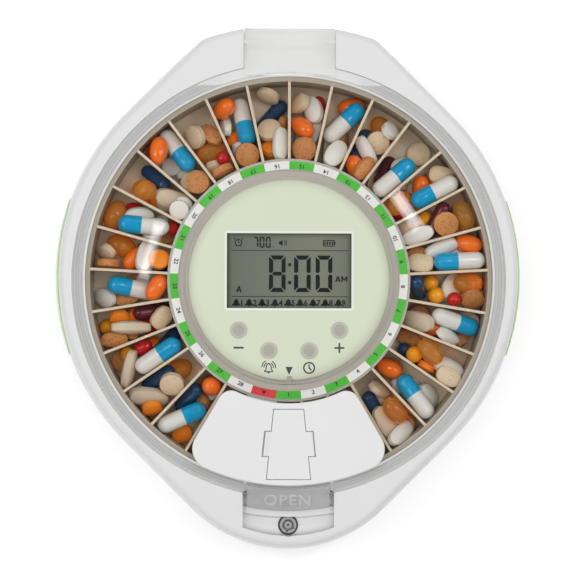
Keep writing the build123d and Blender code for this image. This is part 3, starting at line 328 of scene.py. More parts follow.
def annulus(shape, cx, cy, r0, r1, z0, z1, a0=0.0, a1=360.0, n=48, mat=0, z_of=None):
    """A flat ring, or part of one, with its own thickness."""
    full = abs(a1 - a0) >= 359.9
    k = n if full else n + 1
    rows = []
    for i in range(k):
        a = math.radians(a0 + (a1 - a0) * i / n)
        for r, z in ((r0, z0), (r1, z0), (r1, z1), (r0, z1)):
            x, y = cx + r * math.cos(a), cy + r * math.sin(a)
            rows.append((x, y, z + (z_of(x, y) if z_of else 0.0)))
    faces = []
    for i in range(n):
        a, b = 4 * i, 4 * ((i + 1) % k)
        for j in range(4):
            faces.append([a + j, b + j, b + (j + 1) % 4, a + (j + 1) % 4])
    if not full:
        faces.append([0, 1, 2, 3][::-1])
        e = 4 * n
        faces.append([e, e + 1, e + 2, e + 3])
    shape.add(rows, faces, mat)


def bar(shape, x0, y0, x1, y1, w, z0, z1, mat=0, z_of=None, round_ends=False):
    """A straight stroke of width w."""
    dx, dy = x1 - x0, y1 - y0
    d = math.hypot(dx, dy)
    nx, ny = -dy / d * w / 2, dx / d * w / 2
    if not round_ends:
        pts = [(x0 - nx, y0 - ny), (x1 - nx, y1 - ny), (x1 + nx, y1 + ny), (x0 + nx, y0 + ny)]
    else:
        a = math.atan2(dy, dx)
        pts = [(x1 + w / 2 * math.cos(a + t), y1 + w / 2 * math.sin(a + t)) for t in [(-PI / 2) + PI * i / 6 for i in range(7)]]
        pts += [(x0 + w / 2 * math.cos(a + t), y0 + w / 2 * math.sin(a + t)) for t in [(PI / 2) + PI * i / 6 for i in range(7)]]
    shape.prism(pts, z0, z1, mat, z_of=z_of)


def surface_of(node):
    """A height function (mm) for the top of a CAD node, looked up from above."""
    o = NODES[node]
    tree = BVHTree.FromPolygons([v.co for v in o.data.vertices], [list(p.vertices) for p in o.data.polygons])

    def height(x, y):
        hit = tree.ray_cast(Vector((x * MM, y * MM, 1.0)), Vector((0, 0, -1)))
        return hit[0].z / MM if hit[0] else 0.0
    return height


# ------------------------------------------------------------------ materials
INK = (58, 68, 74)

def lid_frost_and_painted_highlight(t):
    """Share of milky scatter: the bevel round the lid's edge, where it is a painted highlight, and a trace of frost at
    the rim's own edge.
    """
    sep = t.node("ShaderNodeSeparateXYZ")
    t.link(t.coords(), sep.inputs[0])
    y = t.math("SUBTRACT", sep.outputs["Y"], CY * MM)
    r = t.math("SQRT", t.math("ADD", t.math("MULTIPLY", sep.outputs["X"], sep.outputs["X"]), t.math("MULTIPLY", y, y)))
    # painted highlight: a milky band along the upper bevel round the lid's edge
    edge = t.math("MULTIPLY", t.range(r, 84.15 * MM, 84.4 * MM, 0.0, 1.0), t.range(r, 85.45 * MM, 85.75 * MM, 1.0, 0.0))
    up = t.range(sep.outputs["Z"], 56.6 * MM, 57.2 * MM, 0.0, 1.0)
    edge = t.math("MULTIPLY", edge, up)
    tab = t.math("MULTIPLY", t.range(sep.outputs["Y"], (CY + 80.5) * MM, (CY + 81.0) * MM, 0.0, 1.0), t.range(r, 85.8 * MM, 86.2 * MM, 0.0, 1.0))
    return t.math("MAXIMUM", t.math("MULTIPLY", edge, 0.74), t.math("MULTIPLY", tab, 0.42))


def lid_painted_shade(t):
    """Painted shade on the lid: the outer rim is darker than the plate and darkest in thin lines along its moulded
    steps. The hinge tongue is only lightly darkened.
    """
    sep = t.node("ShaderNodeSeparateXYZ")
    t.link(t.coords(), sep.inputs[0])
    y = t.math("SUBTRACT", sep.outputs["Y"], CY * MM)
    r = t.math("SQRT", t.math("ADD", t.math("MULTIPLY", sep.outputs["X"], sep.outputs["X"]), t.math("MULTIPLY", y, y)))
    r = t.range(r, 80.0 * MM, 92.0 * MM, 0.0, 1.0)

    def at(v):
        return (v - 80.0) / 12.0
    # painted shade by radius: the rim darker than the plate, with dark lines at 87.3 and 88.2 mm
    k = [(82.6, 1.0), (82.9, 0.90), (84.3, 0.88), (85.5, 0.94), (85.8, 0.74), (86.6, 0.83), (87.1, 0.80), (87.3, 0.62), (87.5, 0.84), (88.0, 0.82),
         (88.2, 0.62), (88.45, 0.86), (89.5, 0.88), (90.2, 0.98)]
    ring = t.ramp(r, [(at(v), (g, g, g)) for v, g in k])
    # the hinge tongue gets an even, light painted shade in place of the rim's bands
    tongue = t.math("MULTIPLY", t.range(t.math("ABSOLUTE", sep.outputs["X"]), 28.0 * MM, 28.6 * MM, 1.0, 0.0), t.range(sep.outputs["Y"], (CY + 80.5) * MM, (CY + 81.0) * MM, 0.0, 1.0))
    return t.mix(tongue, ring, (0.95, 0.95, 0.95, 1))


def latch_frost(t):
    return t.range(t.noise(180.0, 2.0), 0.3, 0.7, 0.50, 0.56)


def letter_frost(t):
    return t.range(t.noise(180.0, 2.0), 0.3, 0.7, 0.16, 0.22)


case_white = plastic("case_white", (219, 219, 219), rough=0.36, vary=0.012, cloud=14.0, grain=1800.0, grain_strength=0.10, Specular_IOR_Level=0.45)
plate_white = plastic("plate_white", (224, 224, 224), rough=0.40, vary=0.010, cloud=22.0, grain=1500.0, grain_strength=0.12, Specular_IOR_Level=0.4)
bay_plastic = plastic("bay_plastic", (200, 200, 198), rough=0.5, vary=0.03, cloud=40.0)
trim_green = plastic("trim_green", (196, 219, 160), rough=0.30, vary=0.03, cloud=25.0, Subsurface_Weight=0.15, Subsurface_Scale=0.002)
dome_green = plastic("dome_green", (208, 214, 191), rough=0.42, vary=0.012, cloud=18.0, grain=2600.0, grain_strength=0.08, Specular_IOR_Level=0.35)
bezel_white = plastic("bezel_white", (226, 229, 217), rough=0.35, vary=0.01)
collar_grey = plastic("collar_grey", (188, 182, 173), rough=0.4, vary=0.02, cloud=35.0)
indicator_grey = plastic("indicator_grey", (150, 149, 143), rough=0.3, vary=0.02, cloud=200.0)


def button_material():
    """Rubber key: grey in the middle, paler towards its edge as a painted highlight round its rim."""
    t = Tree("button_rubber")
    sep = t.node("ShaderNodeSeparateXYZ")
    t.link(t.coords(), sep.inputs[0])
    near = None
    for x, y in ((-20.7, CY - 20.7), (20.7, CY - 20.7), (-8.3, CY - 29.1), (8.3, CY - 29.1)):
        dx = t.math("SUBTRACT", sep.outputs["X"], x * MM)
        dy = t.math("SUBTRACT", sep.outputs["Y"], y * MM)
        d = t.math("SQRT", t.math("ADD", t.math("MULTIPLY", dx, dx), t.math("MULTIPLY", dy, dy)))
        near = d if near is None else t.math("MINIMUM", near, d)
    grain = t.noise(5200.0, 2.0, 0.6)
    mid = t.ramp(t.noise(260.0, 3.0, 0.55), [(0.3, lin(164, 162, 152)), (0.7, lin(170, 168, 158))])
    # painted highlight: paler from 2.1 mm out towards the key's rim
    col = t.mix(t.range(near, 2.1 * MM, 3.4 * MM, 0.0, 1.0), mid, (*lin(194, 196, 178), 1))
    rough = t.range(t.noise(900.0, 3.0), 0.25, 0.75, 0.56, 0.68)
    p = t.principled(col, rough=rough, bump=grain, bump_strength=0.3, bump_mm=0.03, Specular_IOR_Level=0.3)
    return t.finish(p.outputs["BSDF"])


button_rubber = button_material()
foot_rubber = plastic("foot_rubber", (62, 62, 62), rough=0.75, vary=0.08, cloud=120.0, grain=4200.0, grain_strength=0.5, grain_mm=0.04)
tray_cream = plastic("tray_cream", (220, 201, 176), rough=0.42, vary=0.02, cloud=35.0, Subsurface_Weight=0.2, Subsurface_Scale=0.003)
rim_cream = plastic("rim_cream", (178, 168, 152), rough=0.42, vary=0.03, cloud=35.0, Subsurface_Weight=0.15, Subsurface_Scale=0.002)
cover_white = plastic("cover_white", (232, 231, 226), rough=0.4, vary=0.01)
black_plastic = plastic("black_plastic", (34, 34, 36), rough=0.45, vary=0.1, cloud=90.0)
gear_plastic = plastic("gear_plastic", (226, 220, 200), rough=0.35, vary=0.03, cloud=70.0, Subsurface_Weight=0.1, Subsurface_Scale=0.001)
cell_jacket = plastic("cell_jacket", (52, 96, 150), rough=0.28, vary=0.05, cloud=50.0, Coat_Weight=0.3, Coat_Roughness=0.1)
board_green = plastic("board_green", (28, 92, 58), rough=0.35, vary=0.12, cloud=420.0, Coat_Weight=0.4, Coat_Roughness=0.15)
pin_white = plastic("pin_white", (222, 222, 220), rough=0.35, vary=0.02)
screw_steel = metal("screw_steel", (176, 178, 182), rough=0.32)
motor_steel = metal("motor_steel", (168, 170, 172), rough=0.30, brushed=(1, 1, 14))
lock_chrome = metal("lock_chrome", (188, 189, 190), rough=0.34, metallic=0.45)
lock_dark = metal("lock_dark", (92, 92, 94), rough=0.36, metallic=0.6)
lid_clear = clear("lid_clear", (0.972, 0.972, 0.968), 0.0, 0.0, ior=1.50, frost=lid_frost_and_painted_highlight, shade=lid_painted_shade)
latch_clear = clear("latch_clear", (0.86, 0.86, 0.858), 0.10, 0.18, ior=1.50, frost=latch_frost, milk_tone=0.46)
letter_clear = clear("letter_clear", (0.95, 0.95, 0.948), 0.02, 0.08, ior=1.50, frost=letter_frost, milk_tone=0.9)
lens_clear = clear("lens_clear", (0.99, 0.99, 0.985), 0.0, 0.0, ior=1.45)


def ring_material():
    """Label ring: 28 dose positions, odd green and even white, and the red start position."""
    t = Tree("ring_print")
    sep = t.node("ShaderNodeSeparateXYZ")
    t.link(t.coords(), sep.inputs[0])
    y = t.math("SUBTRACT", sep.outputs["Y"], CY * MM)
    a = t.math("ARCTAN2", sep.outputs["X"], t.math("MULTIPLY", y, -1.0))
    a = t.math("ADD", a, PI / 29 + 2 * PI)
    step = t.math("MULTIPLY", t.math("MODULO", a, 2 * PI), 29 / (2 * PI))
    cell = t.math("FLOOR", step)
    odd = t.math("GREATER_THAN", t.math("MODULO", cell, 2.0), 0.5)
    start = t.math("GREATER_THAN", cell, 27.5)
    ink = t.noise(900.0, 3.0, 0.6)
    green = t.ramp(ink, [(0.3, lin(70, 184, 50)), (0.7, lin(84, 196, 64))])
    white = t.ramp(ink, [(0.3, lin(238, 237, 234)), (0.7, lin(243, 242, 240))])
    red = t.ramp(ink, [(0.3, lin(214, 48, 54)), (0.7, lin(226, 62, 66))])
    col = t.mix(start, t.mix(odd, green, white), red)
    # the moulded edges beside the label stay white
    r = t.math("SQRT", t.math("ADD", t.math("MULTIPLY", sep.outputs["X"], sep.outputs["X"]), t.math("MULTIPLY", y, y)))
    edge = t.math("MAXIMUM", t.math("LESS_THAN", r, 46.05 * MM), t.math("GREATER_THAN", r, 49.42 * MM))
    side = t.math("LESS_THAN", sep.outputs["Z"], 54.02 * MM)
    col = t.mix(t.math("MAXIMUM", edge, side), col, (*lin(186, 180, 171), 1))
    rough = t.range(ink, 0.3, 0.7, 0.28, 0.4)
    p = t.principled(col, rough=rough, bump=t.noise(3500.0, 2.0), bump_strength=0.06, bump_mm=0.01)
    return t.finish(p.outputs["BSDF"])


def lcd_material():
    """Reflective display glass: grey-olive with the faint grain of its polariser; painted shade makes it darker at the
    rim, and painted light makes it lightest right of the middle.
    """
    t = Tree("lcd")
    sep = t.node("ShaderNodeSeparateXYZ")
    t.link(t.coords(), sep.inputs[0])
    dx = t.math("SUBTRACT", 25.65 * MM, t.math("ABSOLUTE", sep.outputs["X"]))
    dy = t.math("SUBTRACT", 15.4 * MM, t.math("ABSOLUTE", t.math("SUBTRACT", sep.outputs["Y"], (CY + 3.74) * MM)))
    d = t.math("MINIMUM", dx, dy)
    # painted shade: darker within 2.2 mm of the window's edge
    shade = t.range(d, 0.0, 2.2 * MM, 0.0, 1.0)
    # painted light across the glass: darkest at the left, lightest right of the middle
    across = t.range(sep.outputs["X"], -25 * MM, 25 * MM, 0.0, 1.0)
    base = t.ramp(across, [(0.0, lin(106, 109, 98)), (0.35, lin(116, 120, 107)), (0.75, lin(124, 127, 114)), (1.0, lin(114, 117, 105))])
    grain = t.ramp(t.noise(1500.0, 2.0, 0.5), [(0.3, (0.93, 0.93, 0.93)), (0.7, (1, 1, 1))])
    col = t.mix(1.0, base, grain, "MULTIPLY")
    col = t.mix(shade, t.mix(1.0, col, (0.55, 0.55, 0.53, 1), "MULTIPLY"), col)
    rough = t.range(t.noise(300.0, 2.0), 0.3, 0.7, 0.40, 0.5)
    p = t.principled(col, rough=rough, bump=t.noise(6000.0, 1.0), bump_strength=0.05, bump_mm=0.01, Specular_IOR_Level=0.25)
    return t.finish(p.outputs["BSDF"])


def ink_material(name, rgb, rough=0.45):
    t = Tree(name)
    base = lin(*rgb)
    col = t.ramp(t.noise(2500.0, 3.0, 0.6), [(0.3, scaled(base, 0.88)), (0.7, scaled(base, 1.08))])
    r = t.range(t.noise(1200.0, 2.0), 0.3, 0.7, rough - 0.06, rough + 0.06)
    p = t.principled(col, rough=r, Specular_IOR_Level=0.3)
    return t.finish(p.outputs["BSDF"])


ring_print = ring_material()
lcd = lcd_material()
print_ink = ink_material("print_ink", (66, 76, 80))
number_ink = ink_material("number_ink", (34, 42, 40), 0.4)
segment_ink = ink_material("segment_ink", (6, 11, 9), 0.6)
segment_grey = ink_material("segment_grey", (20, 24, 20), 0.6)

dress("lower_case upper_case", case_white)
dress("deck_plate battery_box battery_door center_column", bay_plastic)
dress("dome_collar", collar_grey)
dress("battery_door", case_white)
dress("side_trim_left side_trim_right", trim_green)
dress("rubber_feet", foot_rubber)
dress("case_screws column_screws motor_screws latch_pins flap_pin battery_contacts", screw_steel)
dress("hinge_pins", pin_white)
dress("batteries", cell_jacket)
dress("dc_jack buzzer position_switch button_switches tilt_sensor", black_plastic)
dress("power_board circuit_board", board_green)
dress("motor output_shaft", motor_steel)
dress("motor_gearbox drive_pinion turntable_gear thrust_washer", gear_plastic)
dress("control_dome", dome_green)
dress("lcd_bezel", bezel_white)
dress("indicator_lens", indicator_grey)
dress("lcd_window", lens_clear)
dress("lcd_module", lcd)
dress("button_minus button_plus button_alarm button_clock", button_rubber)
dress("lid lock_tongue", lid_clear)
dress("latch_tab", latch_clear)
dress("dispensing_plate flap", plate_white)
dress("tray_floor tray_dividers", tray_cream)
dress("tray_rim", rim_cream)
dress("tray_hub", collar_grey)
dress("dose_ring", ring_print)
dress("start_cell_cover", cover_white)
dress("lock_plug lock_cam", lock_chrome)
dress("lock_sleeve", lock_dark)

# ------------------------------------------------------------------ numerals on the label ring
Z_RING = 54.1
numerals = Shape()
for k in range(28):
    a = math.radians(k * PITCH)
    r = 47.4
    put_text(numerals, str(k + 1), 2.35, r * math.sin(a), CY - r * math.cos(a), Z_RING, turn=a, thick=0.035, bold=0.055, sx=1.05)
a = math.radians(28 * PITCH)
tri = [(-0.95, 0.75), (0.0, -0.85), (0.95, 0.75)]
c, s = math.cos(a), math.sin(a)
numerals.prism([(47.75 * s + c * x - s * y, CY - 47.75 * c + s * x + c * y) for x, y in tri], Z_RING, Z_RING + 0.035)
numerals.make("ring_numerals", [number_ink], "tray")

# ------------------------------------------------------------------ display graphics
Z_LCD = 60.1
LCD_CX, LCD_CY = 0.0, CY + 3.74


def L(u, v):
    """A place on the display, from the picture's frame to mm."""
    return (u - 289.3) / 2.4257, LCD_CY - (v - 270.7) / 2.4257


SEGS = {"0": "abcdef", "1": "bc", "2": "abged", "3": "abgcd", "4": "fgbc", "5": "afgcd", "6": "afgedc", "7": "abc",
        "8": "abcdefg", "9": "abcfgd"}


def seven(shape, x0, y0, w, h, t, digit, gap, mat=0):
    """A seven-segment digit with mitred corners. (x0, y0) is its lower left corner."""
    m = h / 2
    g = gap
    polys = {
        "a": [(g + t * 0.15, h), (w - g - t * 0.15, h), (w - t - g * 0.2, h - t), (t + g * 0.2, h - t)],
        "d": [(t + g * 0.2, t), (w - t - g * 0.2, t), (w - g - t * 0.15, 0), (g + t * 0.15, 0)],
        "f": [(0, h - g - t * 0.15), (t, h - t - g), (t, m + t * 0.55), (t * 0.62, m + g * 0.8), (0, m + t * 0.35)],
        "e": [(0, m - t * 0.35), (t * 0.62, m - g * 0.8), (t, m - t * 0.55), (t, t + g), (0, g + t * 0.15)],
        "b": [(w, h - g - t * 0.15), (w, m + t * 0.35), (w - t * 0.62, m + g * 0.8), (w - t, m + t * 0.55), (w - t, h - t - g)],
        "c": [(w, m - t * 0.35), (w, g + t * 0.15), (w - t, t + g), (w - t, m - t * 0.55), (w - t * 0.62, m - g * 0.8)],
        "g": [(t * 0.75, m), (t * 1.15, m + t * 0.46), (w - t * 1.15, m + t * 0.46), (w - t * 0.75, m), (w - t * 1.15, m - t * 0.46), (t * 1.15, m - t * 0.46)],
    }
    for key in SEGS[digit]:
        pts = polys[key]
        area = sum(p[0] * q[1] - q[0] * p[1] for p, q in zip(pts, pts[1:] + pts[:1]))
        if area < 0:
            pts = pts[::-1]
        shape.prism([(x0 + x, y0 + y) for x, y in pts], Z_LCD, Z_LCD + 0.04, mat)


def bell(shape, x, y, w, h, z0, z1, mat=0, z_of=None):
    """A filled bell with its clapper, centred on (x, y)."""
    half = [(0.0, 0.50), (0.08, 0.50), (0.11, 0.42), (0.24, 0.32), (0.31, 0.12), (0.35, -0.08), (0.55, -0.22), (0.55, -0.36)]
    pts = [(px * w, py * h) for px, py in half]
    left = [(-px, py) for px, py in pts[1:]]
    outline = left[::-1][::-1] + list(reversed(pts))          # left side downwards, then right side upwards
    outline = [(x + px, y + py) for px, py in outline]
    area = sum(p[0] * q[1] - q[0] * p[1] for p, q in zip(outline, outline[1:] + outline[:1]))
    if area < 0:
        outline = outline[::-1]
    shape.prism(outline, z0, z1, mat, z_of=z_of)
    shape.prism([(x + 0.13 * w * math.cos(t), y - 0.36 * h + 0.13 * h * math.sin(t)) for t in [PI + PI * i / 6 for i in range(7)]],
                z0, z1, mat, z_of=z_of)


g = Shape()
zl0, zl1 = Z_LCD, Z_LCD + 0.04
for u0, d in ((269.1, "8"), (294.2, "0"), (315.8, "0")):
    x, y = L(u0, 291.9)
    seven(g, x, y, 16.7 / 2.4257, 36.6 / 2.4257, 1.74, d, 0.30)
for v in (264.6, 282.4):
    x, y = L(289.9, v)
    g.prism(ring_outline(0.72, 20, x, y), zl0, zl1)


def letter_a(x, y, w, h, t):
    """A capital A from bars, centred on (x, y)."""
    for s in (-1, 1):
        bar(g, x + s * (w - t) / 2, y - h / 2, x + s * 0.04, y + h / 2 - 0.1, t, zl0, zl1)
    bar(g, x - w * 0.26, y - h * 0.2, x + w * 0.26, y - h * 0.2, t * 0.75, zl0, zl1)


x, y = L(341.3, 278.8)
letter_a(x - 1.32, y, 2.3, 2.35, 0.55)
for sx in (-1, 1):
    bar(g, x + 1.32 + sx * 0.98, y - 1.15, x + 1.32 + sx * 0.98, y + 1.15, 0.5, zl0, zl1)
    bar(g, x + 1.32 + sx * 0.92, y + 1.0, x + 1.32, y - 0.55, 0.46, zl0, zl1)
x, y = L(239.2, 289.2)
letter_a(x, y, 2.3, 2.5, 0.55)
for u0, d in ((253.5, "7"), (259.7, "0"), (265.9, "0")):
    x, y = L(u0, 247.7)
    seven(g, x, y, 2.05, 4.5, 0.62, d, 0.06)
for v in (240.7, 244.4):
    x, y = L(258.8, v)
    g.prism(ring_outline(0.16, 10, x, y), zl0, zl1)
x, y = L(272.9, 246.9)
put_text(g, "PM", 0.8, x, y, Z_LCD, thick=0.04)
# alarm clock mark at the upper left
x, y = L(238.6, 242.6)
annulus(g, x, y, 1.1, 1.52, zl0, zl1, n=28)
bar(g, x, y, x, y + 0.85, 0.34, zl0, zl1)
bar(g, x, y, x + 0.62, y, 0.34, zl0, zl1)
for side in (-1, 1):
    annulus(g, x + side * 1.25, y + 1.35, 0.32, 0.62, zl0, zl1, a0=45 - side * 45 - 20, a1=45 - side * 45 + 110, n=8)
    bar(g, x + side * 0.85, y - 1.2, x + side * 1.25, y - 1.75, 0.3, zl0, zl1)
# speaker mark with sound waves
x, y = L(281.6, 242.8)
g.prism([(x - 1.1, y - 0.55), (x - 0.45, y - 0.55), (x + 0.45, y - 1.35), (x + 0.45, y + 1.35), (x - 0.45, y + 0.55), (x - 1.1, y + 0.55)], zl0, zl1)
annulus(g, x + 0.3, y, 0.95, 1.28, zl0, zl1, a0=-48, a1=48, n=10)
annulus(g, x + 0.3, y, 1.6, 1.94, zl0, zl1, a0=-44, a1=44, n=12)
# battery mark
x, y = L(329.2, 243.0)
for p in ((-2.35, -1.15, 2.1, -1.15), (-2.35, 1.15, 2.1, 1.15)):
    bar(g, x + p[0], y + p[1], x + p[2], y + p[3], 0.38, zl0, zl1)
for dx in (-2.35, 2.1):
    bar(g, x + dx, y - 1.3, x + dx, y + 1.3, 0.38, zl0, zl1)
bar(g, x + 2.45, y - 0.55, x + 2.45, y + 0.55, 0.4, zl0, zl1)
for i in range(4):
    bar(g, x - 1.7 + i * 1.02, y - 0.72, x - 1.7 + i * 1.02, y + 0.72, 0.6, zl0, zl1)
# alarm marks 1 to 9
bells_u = (236.4, 249.3, 262.3, 275.2, 288.5, 300.3, 313.3, 325.5, 338.7)
for u in bells_u:
    x, y = L(u, 302.7)
    bell(g, x, y, 3.15, 3.1, zl0, zl1)
g.make("lcd_segments", [segment_ink], "case")
thin = Shape()
for i, u in enumerate((241.9, 255.2, 267.9, 280.9, 293.4, 306.0, 318.9, 331.1, 343.9)):
    x, y = L(u, 302.8)
    put_text(thin, str(i + 1), 3.45, x, y, Z_LCD, thick=0.035, bold=0.085, sx=0.95)
for v in (250.4, 296.5):
    x0, y = L(232.2, v)
    x1, _ = L(348.4, v)
    bar(thin, x0, y, x1, y, 0.28, Z_LCD, Z_LCD + 0.035)
thin.make("lcd_fine_print", [segment_grey], "case")

# ------------------------------------------------------------------ marks printed on the dome
dome_z = surface_of("control_dome")


def D(u, v):
    """A place on the dome, from the picture's frame to mm."""
    return (u - 289.1) / 2.432, CY - (v - 279.9) / 2.432


def on_dome(x, y):
    return dome_z(x, y)


marks = Shape()
t0, t1 = -0.01, 0.035
x, y = D(238.8, 347.9)
bar(marks, x - 2.1, y, x + 2.1, y, 0.8, t0, t1, z_of=on_dome)
x, y = D(339.5, 347.9)
bar(marks, x - 2.05, y, x + 2.05, y, 0.72, t0, t1, z_of=on_dome)
bar(marks, x, y - 2.05, x, y - 0.36, 0.72, t0, t1, z_of=on_dome)
bar(marks, x, y + 0.36, x, y + 2.05, 0.72, t0, t1, z_of=on_dome)
x, y = D(309.3, 367.9)
annulus(marks, x, y, 1.87, 2.5, t0, t1, n=56, z_of=on_dome)
bar(marks, x, y + 1.45, x, y - 0.05, 0.55, t0, t1, z_of=on_dome)
bar(marks, x - 0.05, y + 0.1, x + 0.98, y - 1.05, 0.6, t0, t1, z_of=on_dome)
x, y = D(289.25, 370.8)
rows = 12
for i in range(rows):                                # the pointer, in strips so that it follows the dome
    h0, h1 = i / rows, (i + 1) / rows
    w0, w1 = 1.5 * (1 - h0), max(0.02, 1.5 * (1 - h1))
    y0, y1 = y + 1.6 - 3.3 * h0, y + 1.6 - 3.3 * h1
    marks.prism([(x - w0, y0), (x - w1, y1), (x + w1, y1), (x + w0, y0)], t0, t1, z_of=on_dome)
# ringing bell: an outline with its clapper and two waves each side
x, y = D(268.9, 368.3)
half = [(0.0, 1.95), (0.28, 1.95), (0.34, 1.62), (0.86, 1.22), (1.02, 0.5), (1.12, -0.55), (1.62, -1.12), (1.62, -1.42)]
path = [(px, py) for px, py in half] + [(0.0, -1.42)]
for sgn in (-1, 1):
    for p, q in zip(path, path[1:]):
        if math.hypot(q[0] - p[0], q[1] - p[1]) > 0.05:
            bar(marks, x + sgn * p[0], y + p[1], x + sgn * q[0], y + q[1], 0.42, t0, t1 + 0.002 * sgn, z_of=on_dome, round_ends=True)
annulus(marks, x, y - 1.5, 0.0001, 0.62, t0, t1 + 0.004, a0=180, a1=360, n=12, z_of=on_dome)
for sgn in (-1, 1):
    for r0 in (1.75, 2.62):
        mid = 30 if sgn > 0 else 150
        annulus(marks, x, y + 0.35, r0, r0 + 0.42, t0, t1, a0=mid - 36, a1=mid + 30, n=14, z_of=on_dome)
marks.make("dome_print", [print_ink], "case")
# thin lips of the cover around the four keys, and of the tray around the dome's foot
lips = Shape()
for bx, by in ((-20.7, CY - 20.7), (20.7, CY - 20.7), (-8.3, CY - 29.1), (8.3, CY - 29.1)):
    annulus(lips, bx, by, 3.42, 3.62, -0.9, 0.012, n=40, z_of=lambda x, y, c=(bx, by): on_dome(c[0] + (x - c[0]) * 1.09, c[1] + (y - c[1]) * 1.09))
lips.make("key_lips", [dome_green], "case")
foot = Shape()
annulus(foot, 0.0, CY, 43.14, 43.55, 52.6, 53.52, n=120)
foot.make("hub_lip", [collar_grey], "tray")

